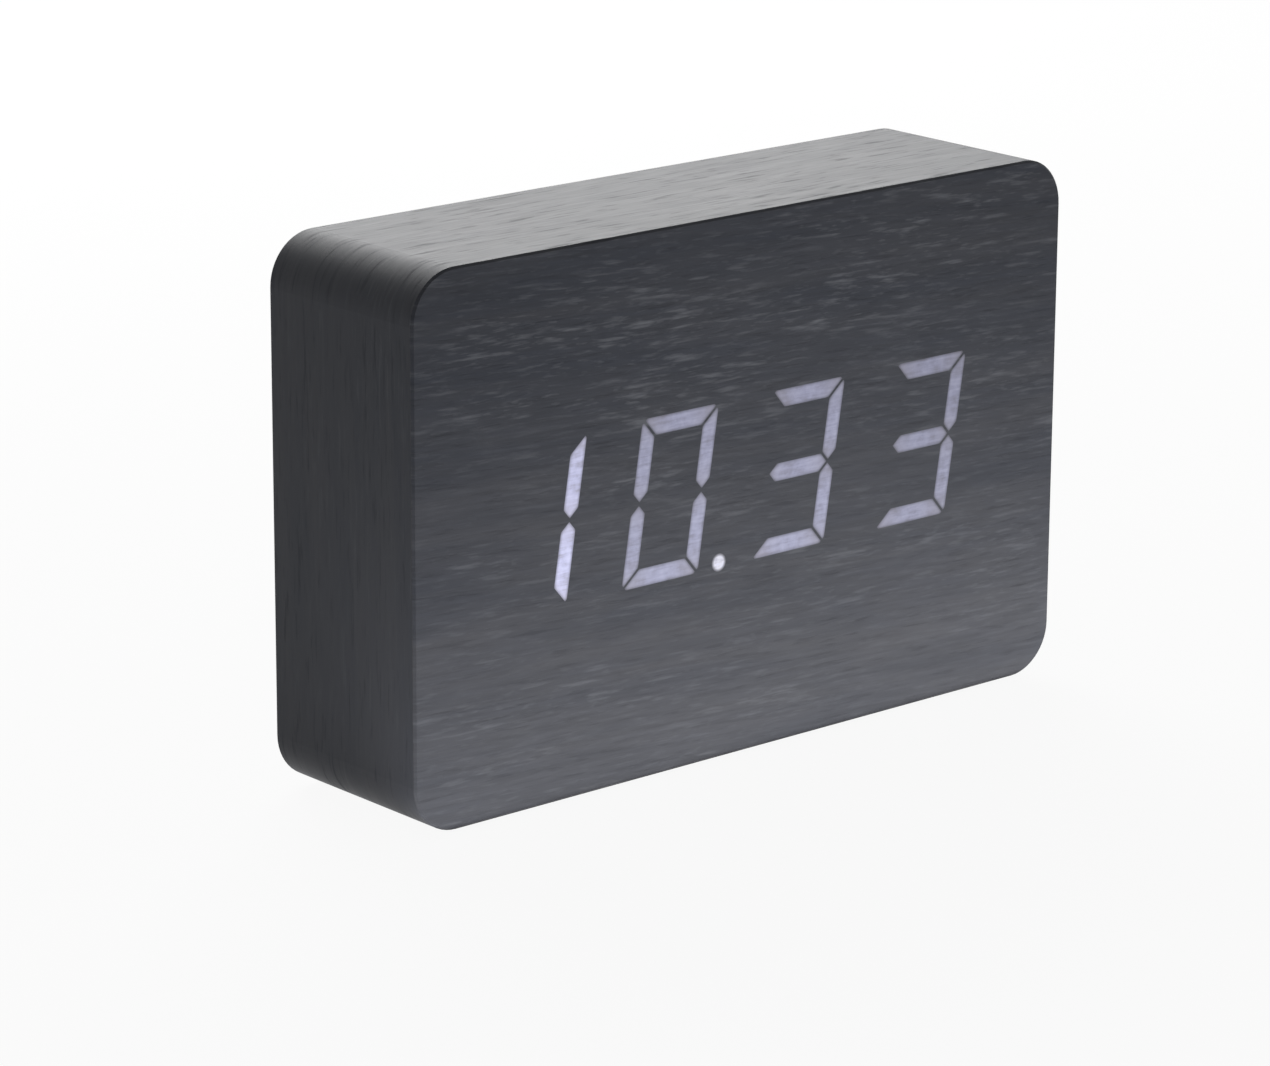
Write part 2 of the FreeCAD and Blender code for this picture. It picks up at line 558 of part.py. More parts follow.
def make_screws():
    """Countersunk screws in the cover, pan heads on the display's ears and the main board."""
    cover = Piece("cover_screws")
    for number, (x, z) in enumerate(corners("screw_x", "screw_z"), start=1):
        cover.turn(f"screw_{number}", ("0", "0"), ("screw_head / 2", "0"),
                   ("screw_diameter / 2", "-screw_head_height"), ("screw_diameter / 2", "-screw_length"),
                   ("0", "-screw_length"), x=x, y="cover_outer_y", depth=z)
    add_crosses(cover, corners("screw_x", "screw_z"), "cover_outer_y - cross_depth", "cover_outer_y")
    ears = Piece("display_screws")
    ears.pad("heads", *[circle("screw_head", x, z) for x, z in ear_places()],
             start="ear_back_y", end="ear_back_y + pan_head_height")
    ears.pad("shanks", *[circle("screw_diameter", x, z) for x, z in ear_places()],
             start="ear_back_y - short_screw_length", end="ear_back_y")
    head_top = "ear_back_y + pan_head_height"
    add_crosses(ears, ear_places(), f"{head_top} - cross_depth", head_top)
    board = Piece("board_screws")
    places = corners("boss_x", "boss_z", "board_x")
    board.pad("heads", *[circle("board_screw_head", x, z) for x, z in places],
              start="board_front_y - pan_head_height", end="board_front_y")
    board.pad("shanks", *[circle("board_screw_diameter", x, z) for x, z in places],
              start="board_front_y", end="board_front_y + board_screw_length")
    head_top = "board_front_y - pan_head_height"
    add_crosses(board, places, head_top, f"{head_top} + cross_depth")


# ------------------------------------------------------------ the rear cover
def make_cover():
    """The moulded rear cover: plate, skirt, battery tub, door recess, bosses and holes."""
    cover = Piece("rear_cover")
    cover.pad("plate", rounded("cover_width", "cover_height", "cover_radius", y="middle_z"),
              start="cover_inner_y", end="cover_outer_y")
    cover.bevel("plate_edge", "edge_bevel", "cover_outer_y")
    cover.pad("skirt", rounded("skirt_width", "skirt_depth", "skirt_radius", y="middle_z"),
              rounded("skirt_width - 2 * skirt_wall", "skirt_depth - 2 * skirt_wall",
                      "skirt_radius - skirt_wall", y="middle_z"),
              start="cover_inner_y - skirt_height", end="cover_inner_y")
    cover.pad("door_frame", rectangle("frame_length", "frame_width", "bay_x", "middle_z"),
              start="cover_outer_y - frame_thickness", end="cover_inner_y")
    cover.pad("tub", rectangle("bay_length + 2 * bay_wall", "bay_width + 2 * bay_wall",
                               "bay_x", "middle_z"),
              start="bay_floor_y - bay_wall", end="cover_outer_y - frame_thickness")
    cover.pad("bosses", *[circle("boss_diameter", x, z)
                          for x, z in corners("boss_x", "boss_z", "board_x")],
              start="board_rear_y", end="cover_inner_y")
    cover.pocket("bay", rectangle("bay_length", "bay_width", "bay_x", "middle_z"),
                 start="bay_floor_y", end="cover_outer_y")
    cover.pocket("door_recess", rounded("recess_length", "recess_width",
                                        "door_radius + door_clearance", "bay_x", "middle_z"),
                 start="door_inner_y", end="cover_outer_y")
    slot_length = "door_tab_reach + door_lap_end"
    slot_x = f"hinge_x - door_clearance - door_tab_reach + ({slot_length}) / 2"
    cover.pocket("tab_slots", *[rectangle(slot_length, "door_tab_width + 2 * door_clearance", slot_x,
                                          f"middle_z {side} door_tab_offset") for side in "-+"],
                 start="cover_outer_y - door_slot_depth",
                 end="door_inner_y + door_tab_thickness + slot_play")
    latch_slot = "door_lap_end + door_clearance - bay_wall"
    cover.pocket("latch_slot", rectangle(latch_slot, "latch_width + 2 * door_clearance",
                                         f"tub_right + ({latch_slot}) / 2", "middle_z"),
                 start="cover_outer_y - frame_thickness", end="door_inner_y")
    cover.pocket("finger_notch", circle("notch_diameter", "bay_x + recess_length / 2", "middle_z"),
                 start="cover_outer_y - notch_depth", end="cover_outer_y")
    cradle_z = [f"middle_z + {step} * battery_spacing" for step in (-1, 0, 1)]
    cradle_x = [f"bay_x {side} battery_length / 4" for side in "-+"]
    cover.pad("cradles", *[rectangle("cradle_width", "cradle_width", x, z)
                           for x in cradle_x for z in cradle_z],
              start="bay_floor_y", end="bay_floor_y + cradle_height")
    for end, step in (("positive", 1.5), ("negative", -1.5)):
        # A slot through the end wall of the tub for each contact's tail.
        cover.pocket(f"{end}_tail_slot", rectangle("2 * bay_wall", "tail_width + 2 * slot_play",
                                                   "bay_right + bay_wall",
                                                   f"middle_z + {step} * battery_spacing"),
                     start="tail_y - slot_play", end="tail_y + contact_thickness + slot_play")
    cover.pocket("screw_holes", *[circle("screw_diameter + hole_clearance", x, z)
                                  for x, z in corners("screw_x", "screw_z")],
                 start="cover_inner_y", end="cover_outer_y")
    for number, (x, z) in enumerate(corners("screw_x", "screw_z"), start=1):
        head = "screw_head / 2"
        cover.turn(f"countersink_{number}", ("0", "0"), (f"{head} + pilot_clearance", "0"),
                   ("screw_diameter / 2 + pilot_clearance", "-screw_head_height"),
                   ("0", "-screw_head_height"), cut=True, x=x, y="cover_outer_y", depth=z)
    cover.pocket("boss_pilots", *[circle("board_screw_diameter + 2 * pilot_clearance", x, z)
                                  for x, z in corners("boss_x", "boss_z", "board_x")],
                 start="board_rear_y", end="cover_inner_y")
    cover.pocket("button_holes", *[circle("button_diameter + 2 * running_fit", x, "button_z")
                                   for x in button_places()],
                 start="cover_inner_y", end="cover_outer_y")
    cover.pocket("socket_hole", circle("socket_collar + 2 * cover_clearance", "socket_x", "socket_z"),
                 start="cover_inner_y", end="cover_outer_y")
    cover.pocket("grille", circle("grille_hole", "buzzer_x", "buzzer_z"),
                 *[circle("grille_hole", f"buzzer_x + cos({turn}) * grille_circle / 2",
                          f"buzzer_z + sin({turn}) * grille_circle / 2")
                   for turn in range(0, 360, 60)],
                 start="cover_inner_y", end="cover_outer_y")
    cover.pocket("microphone_port", circle("microphone_hole", "microphone_x", "microphone_z"),
                 start="cover_inner_y", end="cover_outer_y")


def make_door():
    """The battery door: two tabs under the cover's edge, a latch tongue and grip ribs."""
    door = Piece("battery_door")
    door.pad("plate", rounded("door_length", "door_width", "door_radius", "bay_x", "middle_z"),
             start="door_inner_y", end="cover_outer_y")
    door.bevel("plate_edge", "edge_bevel", "cover_outer_y")
    door.pad("tabs", *[rectangle("2 * door_tab_reach", "door_tab_width", "hinge_x",
                                 f"middle_z {side} door_tab_offset") for side in "-+"],
             start="door_inner_y", end="door_inner_y + door_tab_thickness")
    door.pad("latch", rectangle("latch_thickness", "latch_width", "latch_x", "middle_z"),
             start="door_inner_y - latch_depth", end="door_inner_y")
    rib_x = "bay_x + door_length / 2 - grip_inset"
    door.pad("grip", *[rectangle("grip_rib", "grip_rib_length", f"{rib_x} + {step} * grip_rib_spacing",
                                 "middle_z") for step in (-1, 0, 1)],
             start="cover_outer_y", end="cover_outer_y + grip_rib_height")


# ------------------------------------------------------------- the batteries
def make_batteries():
    """Four AAA cells in a row, each the other way round from its neighbour."""
    for number in range(1, 5):
        rightward = number % 2 == 1
        way = "" if rightward else "-"
        cell = Piece(f"battery_cell_{number}")
        nub_end = "battery_length / 2"
        can_end = f"{nub_end} - nub_height"
        profile = [(f"-({nub_end})", "0"), (f"-({nub_end})", "battery_diameter / 2"),
                   (can_end, "battery_diameter / 2"), (can_end, "battery_nub / 2"),
                   (nub_end, "battery_nub / 2"), (nub_end, "0")]
        cell.turn("can", *[(f"{way}({along})", out) for along, out in profile], axis="H_Axis",
                  x=f"bay_x + ({way}1) * spring_reach / 2", y="battery_y", depth=cell_z(number))


def cell_z(number):
    """The height of a cell's axis, counted from the top."""
    return f"middle_z + {2.5 - number} * battery_spacing"


def add_plate(piece, name, right_hand, width, z):
    """The flat part of a contact, against an end wall of the bay."""
    x = "bay_right - contact_thickness / 2" if right_hand else "bay_left + contact_thickness / 2"
    piece.pad(name, rectangle("contact_thickness", width, x, z),
              start="bay_floor_y + cell_floor_gap", end="bay_floor_y + contact_height")


def add_tongue(piece, right_hand, number):
    """The bent spring tongue that presses on the flat end of a cell."""
    wall, way = ("bay_right", "-") if right_hand else ("bay_left", "+")
    low, high = "bay_floor_y + cell_floor_gap", "bay_floor_y + contact_height"
    reach, thick = "(contact_thickness + spring_reach)", "contact_thickness"
    points = [("0", low), (f"2 * {thick}", low), (reach, "battery_y"), (f"4 * {thick}", high),
              (f"3 * {thick}", high), (f"{reach} - 1.2 * {thick}", "battery_y"),
              (thick, f"{low} + 2 * {thick}"), ("0", f"{low} + 2 * {thick}")]
    sketch = piece.sketch("tongue_profile", [polygon(*[(f"{wall} {way} ({x})", y) for x, y in points])],
                          plane="XY_Plane", depth=f"{cell_z(number)} - tongue_width / 2")
    piece.feature("Pad", "tongue", sketch, Length="tongue_width")


def make_contacts():
    """Sheet-metal contacts: two with tails to the leads, three that join neighbouring cells."""
    positive = Piece("contact_positive")
    add_plate(positive, "plate", True, "contact_width", cell_z(1))
    add_tail(positive, 1)
    negative = Piece("contact_negative")
    add_plate(negative, "plate", True, "contact_width", cell_z(4))
    add_tongue(negative, True, 4)
    add_tail(negative, 4)
    for upper in (1, 2, 3):
        right_hand = upper == 2
        link = Piece(f"contact_link_{upper}")
        add_plate(link, "plate", right_hand, "battery_spacing + contact_width",
                  f"middle_z + {2 - upper} * battery_spacing")
        add_tongue(link, right_hand, upper)


def add_tail(piece, number):
    """The solder tail that leaves the tub through its slot."""
    piece.pad("tail", rectangle("tail_reach + contact_thickness", "tail_width",
                                "bay_right + (tail_reach - contact_thickness) / 2", cell_z(number)),
              start="tail_y", end="tail_y + contact_thickness")


def make_leads():
    """Two insulated leads looping from the tails to the front of the main board."""
    for name, number in (("battery_lead_red", 1), ("battery_lead_black", 4)):
        lead = Piece(name)
        path = bent_path(("lead_start_x", "tail_y"), "lead_low_y", ("lead_end_x", "board_front_y"),
                         "lead_bend", upright=True)
        lead.sweep("lead", path, circle("lead_diameter", "lead_start_x", cell_z(number)),
                   dict(plane="XY_Plane", depth=cell_z(number)),
                   dict(plane="XZ_Plane", depth="-(tail_y)"))


def make_ribbon():
    """The flat cable from the main board to the display board, with a header at each end."""
    ribbon = Piece("display_ribbon")
    middle_y = "(header_face_y + display_header_face_y) / 2"
    path = bent_path(("header_face_y", "header_z"), middle_y,
                     ("display_header_face_y", "display_header_z"), "ribbon_bend", upright=False)
    ribbon.sweep("cable", path, rectangle("ribbon_width", "ribbon_thickness", "board_x", "header_z"),
                 dict(plane="YZ_Plane", depth="board_x"),
                 dict(plane="XZ_Plane", depth="-(header_face_y)"))
    for name, z, start, end in (
            ("main_header", "header_z", "header_face_y", "board_front_y"),
            ("display_header", "display_header_z", "display_board_back_y", "display_header_face_y")):
        header = Piece(name)
        header.pad("shell", rectangle("header_width", "header_height", "board_x", z),
                   start=start, end=end)


# ------------------------------------------------------------ the main board
def button_places():
    return [f"board_x + {step} * button_spacing" for step in (-1, 0, 1)]


def make_main_board():
    """The main board on the cover's bosses."""
    board = Piece("main_board")
    board.pad("panel", rectangle("main_board_width", "main_board_height", "board_x", "middle_z"),
              *[circle("board_screw_diameter + hole_clearance", x, z)
                for x, z in corners("boss_x", "boss_z", "board_x")],
              start="board_front_y", end="board_rear_y")


def make_chips():
    """The controller and the display driver, with their legs."""
    for name, length, width, height, count, x, z in (
            ("controller_chip", "chip_length", "chip_width", "chip_height", "leg_count",
             "board_x", "middle_z + button_row / 2"),
            ("display_driver", "driver_length", "driver_width", "driver_height", "driver_leg_count",
             "board_x - board_column", "middle_z - button_row / 4")):
        chip = Piece(name)
        chip.pad("case", rectangle(length, width, x, z), start=f"board_front_y - {height}",
                 end="board_front_y - leg_width")
        first = f"{x} - ({count} / 2 - 1) * leg_spacing / 2"
        for index in range(round(mm(count)) // 2):
            chip.pad(f"legs_{index + 1}",
                     rectangle("leg_width", f"{width} + 2 * leg_reach",
                               f"{first} + {index} * leg_spacing", z),
                     start="board_front_y - leg_width", end="board_front_y")


def make_small_parts():
    """Crystal, capacitor, chip resistors and transistors on the front of the board."""
    crystal = Piece("clock_crystal")
    radius, half = "crystal_diameter / 2", "crystal_length / 2"
    crystal.turn("can", (f"-{half}", "0"), (f"-{half}", radius), (half, radius), (half, "0"),
                 axis="H_Axis",
                 x="board_x + board_column", y=f"board_front_y - {radius}",
                 depth="middle_z + button_row / 2")
    capacitor = Piece("supply_capacitor")
    place = "board_x + board_column", "middle_z - button_row / 2"
    capacitor.pad("base", rectangle("capacitor_base", "capacitor_base", *place),
                  start="board_front_y - capacitor_base_height", end="board_front_y")
    capacitor.pad("can", circle("capacitor_diameter", *place),
                  start="board_front_y - capacitor_height",
                  end="board_front_y - capacitor_base_height")
    for name, size, x, z in (("chip_resistors", "resistor", "board_x", "middle_z - button_row / 4"),
                             ("driver_transistors", "transistor", "board_x - board_column / 2",
                              "middle_z + button_row")):
        group = Piece(name)
        count = round(mm(f"{size}_count"))
        group.pad("cases", *[rectangle(f"{size}_width", f"{size}_length",
                                       f"{x} + {index - (count - 1) / 2} * {size}_spacing", z)
                             for index in range(count)],
                  start=f"board_front_y - {size}_height", end="board_front_y")


def make_rear_parts():
    """What faces the cover: buzzer, microphone, temperature sensor and power socket."""
    buzzer = Piece("buzzer")
    buzzer.pad("can", circle("buzzer_diameter", "buzzer_x", "buzzer_z"),
               start="board_rear_y", end="board_rear_y + buzzer_height")
    buzzer.pocket("sound_hole", circle("buzzer_hole", "buzzer_x", "buzzer_z"),
                  start="board_rear_y + buzzer_height / 2", end="board_rear_y + buzzer_height")
    microphone = Piece("microphone")
    microphone.pad("capsule", circle("microphone_diameter", "microphone_x", "microphone_z"),
                   start="board_rear_y", end="board_rear_y + microphone_height")
    microphone.pocket("inlet", circle("microphone_hole", "microphone_x", "microphone_z"),
                      start="board_rear_y + microphone_height / 2",
                      end="board_rear_y + microphone_height")
    sensor = Piece("temperature_sensor")
    sensor_x, sensor_z = "board_x + main_board_width / 3", "middle_z"
    bead_start = "board_rear_y + sensor_height - sensor_bead"
    sensor.pad("leads", *[rectangle("sensor_lead", "sensor_lead",
                                    f"{sensor_x} {side} sensor_bead / 4", sensor_z) for side in "-+"],
               start="board_rear_y", end=bead_start)
    sensor.pad("bead", circle("sensor_bead", sensor_x, sensor_z),
               start=bead_start, end="board_rear_y + sensor_height")
    socket = Piece("dc_socket")
    socket.pad("body", rectangle("socket_width", "socket_width", "socket_x", "socket_z"),
               start="board_rear_y", end="cover_inner_y - socket_gap")
    socket.pad("collar", circle("socket_collar", "socket_x", "socket_z"),
               start="cover_inner_y - socket_gap", end="cover_outer_y")
    socket.pocket("bore", circle("socket_bore", "socket_x", "socket_z"),
                  start="board_rear_y + socket_floor", end="cover_outer_y")
    pin = Piece("dc_socket_pin")
    pin.pad("pin", circle("socket_pin", "socket_x", "socket_z"),
            start="board_rear_y + socket_floor", end="cover_outer_y - socket_pin_recess")


def make_buttons():
    """Three flanged caps in the cover, each on the plunger of its switch."""
    for name, x in zip(("set", "up", "down"), button_places()):
        cap = Piece(f"{name}_button")
        face = "cover_outer_y + button_proud"
        rim, stem = "button_flange / 2", "button_diameter / 2"
        cap.turn("cap", ("0", "flange_front_y"), (rim, "flange_front_y"), (rim, "cover_inner_y"),
                 (stem, "cover_inner_y"), (stem, f"{face} - button_edge"),
                 (f"{stem} - button_edge", face), ("0", face), x=x, depth="button_z")
        plunger = Piece(f"{name}_switch_plunger")
        plunger.pad("stem", circle("plunger_diameter", x, "button_z"),
                    start="switch_top_y - plunger_seat", end="flange_front_y")
        switch = Piece(f"{name}_switch_body")
        switch.pad("case", rectangle("switch_width", "switch_width", x, "button_z"),
                   start="board_rear_y", end="switch_top_y")
        switch.pocket("guide", circle("plunger_diameter + 2 * running_fit", x, "button_z"),
                      start="switch_top_y - plunger_seat - button_travel - plunger_room",
                      end="switch_top_y")


for make in (make_core, make_veneers, make_feet, make_lit_segments, make_display, make_screws,
             make_cover, make_door, make_batteries, make_contacts, make_leads, make_ribbon,
             make_main_board, make_chips, make_small_parts, make_rear_parts, make_buttons):
    make()
doc.recompute()

# Every feature has to be sound and every cut has to remove something before a file is written.
faults = []
for item in doc.Objects:
    if "Invalid" in item.State or "Error" in item.State:
        faults.append(f"{item.Name} in {item.getParentGroup().Label if item.getParentGroup() else '-'}")
    elif item.TypeId in ("PartDesign::Pocket", "PartDesign::Groove"):
        if item.BaseFeature.Shape.Volume - item.Shape.Volume < 1e-3:
            faults.append(f"{item.Name} cuts nothing")
bodies = [item for item in doc.Objects if item.TypeId == "PartDesign::Body"]
for body in bodies:
    if body.Shape.isNull() or not body.Shape.isValid() or not body.Shape.Solids:
        faults.append(f"{body.Label} is not a sound solid")
if faults:
    raise RuntimeError("; ".join(faults))

os.makedirs("parts", exist_ok=True)
for body in bodies:
    body.Shape.exportStep(f"parts/{body.Label}.step")
print(len(bodies), "sub-parts written")
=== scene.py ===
import math

import bpy
from mathutils import Matrix, Vector


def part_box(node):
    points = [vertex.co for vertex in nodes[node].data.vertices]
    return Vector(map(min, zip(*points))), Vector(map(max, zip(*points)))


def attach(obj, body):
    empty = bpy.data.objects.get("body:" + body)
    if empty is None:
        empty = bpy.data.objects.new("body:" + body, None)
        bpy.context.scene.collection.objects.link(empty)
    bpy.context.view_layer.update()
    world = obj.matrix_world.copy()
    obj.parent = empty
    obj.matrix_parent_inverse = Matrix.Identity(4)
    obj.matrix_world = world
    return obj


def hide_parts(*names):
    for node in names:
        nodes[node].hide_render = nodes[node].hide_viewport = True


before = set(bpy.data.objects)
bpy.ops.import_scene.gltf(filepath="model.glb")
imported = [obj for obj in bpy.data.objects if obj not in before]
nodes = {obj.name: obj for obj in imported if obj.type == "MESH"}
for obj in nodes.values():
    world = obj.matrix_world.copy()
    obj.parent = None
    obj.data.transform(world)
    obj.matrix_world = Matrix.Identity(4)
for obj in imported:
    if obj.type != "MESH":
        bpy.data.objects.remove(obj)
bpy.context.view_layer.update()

# ----------------------------------------------------------------- the core
# A slab of MDF, routed out from the back for the works.  Inside it is raw brown fibreboard,
# and the mouth of the opening is stained black with the veneer round it.
RAW_BOARD = (0.33, 0.21, 0.12, 1)
RAW_BOARD_DARK = (0.22, 0.13, 0.07, 1)
STAINED_MOUTH = (0.016, 0.016, 0.018, 1)
MOUTH_START, MOUTH_BLUR = 0.0152, 0.0004


def blank_finish(name):
    """A material with one Principled shader, and its node tree, shader and object coordinates."""
    finish = bpy.data.materials.new(name)
    finish.use_nodes = True
    tree = finish.node_tree
    shader = tree.nodes["Principled BSDF"]
    place = tree.nodes.new("ShaderNodeTexCoord").outputs["Object"]
    return finish, tree, shader, place


def noise(tree, place, per_metre, detail=2, rough=0.5, warp=0):
    """Cloudy noise that changes so many times a metre, or a unit where the place is stretched."""
    cloud = tree.nodes.new("ShaderNodeTexNoise")
    cloud.inputs["Scale"].default_value = per_metre
    cloud.inputs["Detail"].default_value = detail
    cloud.inputs["Roughness"].default_value = rough
    cloud.inputs["Distortion"].default_value = warp
    tree.links.new(place, cloud.inputs["Vector"])
    return cloud.outputs["Fac"]


def ramp(tree, value, *stops):
    """Colours or shades picked by a value; each stop is a position and a colour."""
    band = tree.nodes.new("ShaderNodeValToRGB")
    marks = band.color_ramp.elements
    while len(marks) < len(stops):
        marks.new(0.5)
    for mark, (position, colour) in zip(marks, stops):
        mark.position = position
        mark.color = colour if len(colour) == 4 else (*colour, 1)
    tree.links.new(value, band.inputs["Fac"])
    return band.outputs["Color"]


def shade(tree, value, low, high, from_low=0.0, from_high=1.0):
    """A number stretched from one range to another."""
    span = tree.nodes.new("ShaderNodeMapRange")
    for socket, number in zip(("From Min", "From Max", "To Min", "To Max"),
                              (from_low, from_high, low, high)):
        span.inputs[socket].default_value = number
    tree.links.new(value, span.inputs["Value"])
    return span.outputs["Result"]


def part_of(tree, place, axis):
    """One coordinate of a place."""
    split = tree.nodes.new("ShaderNodeSeparateXYZ")
    tree.links.new(place, split.inputs["Vector"])
    return split.outputs[axis]


def blend_colours(tree, share, under, over):
    """Lay one colour over another by a share."""
    mix = tree.nodes.new("ShaderNodeMix")
    mix.data_type = "RGBA"
    for socket, colour in (("Factor_Float", share), ("A_Color", under), ("B_Color", over)):
        pin = next(pin for pin in mix.inputs if pin.identifier == socket)
        if isinstance(colour, (int, float, tuple)):
            pin.default_value = colour
        else:
            tree.links.new(colour, pin)
    return next(pin for pin in mix.outputs if pin.identifier == "Result_Color")


def relief(tree, shader, height, depth, strength):
    """A height pattern turned into a bump of a real depth in metres."""
    bump = tree.nodes.new("ShaderNodeBump")
    bump.inputs["Distance"].default_value = depth
    bump.inputs["Strength"].default_value = strength
    tree.links.new(height, bump.inputs["Height"])
    tree.links.new(bump.outputs["Normal"], shader.inputs["Normal"])


def dress(finish, *names):
    """Give a finish to CAD nodes."""
    for name in names:
        nodes[name].material_slots[0].material = finish


def fibreboard():
    """Pressed brown fibres with darker flecks, black from the mouth to the rear face."""
    finish, tree, shader, place = blank_finish("fibreboard")
    flecks = noise(tree, place, 2600, detail=3, rough=0.7)
    brown = ramp(tree, flecks, (0.35, RAW_BOARD_DARK), (0.62, RAW_BOARD))
    mouth = shade(tree, part_of(tree, place, "Y"), 0, 1, MOUTH_START, MOUTH_START + MOUTH_BLUR)
    tree.links.new(blend_colours(tree, mouth, brown, STAINED_MOUTH), shader.inputs["Base Color"])
    shader.inputs["Roughness"].default_value = 0.85
    shader.inputs["Specular IOR Level"].default_value = 0.25
    relief(tree, shader, flecks, 0.00015, 0.6)
    return finish


dress(fibreboard(), "mdf_core")

# --------------------------------------------------------------- the veneer
# Open-grain veneer, stained black and finished in matt lacquer: a sheet on the front with its
# grain across, one on the rear rim, and a band bent round the top, the sides and the bottom.
# Painted light in its colour: the tone pales towards the bottom, and the open pores carry a
# painted silver sheen.
STAIN = (0.0280, 0.0309, 0.0397, 1)
# The paler tone stands partly for paler wood and partly for painted light on the lower block.
STAIN_PALE = (0.0498, 0.0505, 0.0568, 1)
# painted sheen: a silver glint laid into the colour of the open pores
PAINTED_PORE_SHEEN = (0.135, 0.140, 0.155, 1)
DEEP_PORE = (0.012, 0.0125, 0.014, 1)
DEEP_SHARE = 0.2
VENEER_LOW, VENEER_HIGH = 0.001, 0.098
# height from which the painted sheen on the pores grows towards the top
PORES_FADE_OUT = 0.026  # height at which the silver pores are fewest
SWAY, SWAYS_PER_METRE = 0.0012, 16
PATCH_ALONG, PATCH_ACROSS = 24, 130  # patches richer in pores, changes per metre
GROWTH_ALONG, GROWTH_ACROSS = 12, 140  # broad bands of paler wood, changes per metre
GROWTH_SLOPE, GROWTH_PALING = math.radians(4.114), 0.24
SHEET_SLOPE = math.radians(-2.5)  # the front sheet's grain falls a little to the right
LACQUER_ROUGHNESS, LACQUER_GLOSS = 0.47, 0.15


def reckon(tree, kind, first, second):
    """One sum on two numbers or sockets."""
    step = tree.nodes.new("ShaderNodeMath")
    step.operation = kind
    for socket, number in zip(step.inputs, (first, second)):
        if isinstance(number, (int, float)):
            socket.default_value = number
        else:
            tree.links.new(number, socket)
    return step.outputs["Value"]


def mapped(tree, place, scale=(1, 1, 1), shift=(0, 0, 0), turn=(0, 0, 0)):
    """A place stretched along the grain, then turned, then shifted."""
    mapping = tree.nodes.new("ShaderNodeMapping")
    mapping.inputs["Scale"].default_value = scale
    mapping.inputs["Location"].default_value = shift
    mapping.inputs["Rotation"].default_value = turn
    tree.links.new(place, mapping.inputs["Vector"])
    return mapping.outputs["Vector"]


def brightened(tree, colour, share):
    """A colour multiplied by a share."""
    scaled = tree.nodes.new("ShaderNodeVectorMath")
    scaled.operation = "SCALE"
    tree.links.new(colour, scaled.inputs[0])
    tree.links.new(share, scaled.inputs["Scale"])
    return scaled.outputs["Vector"]


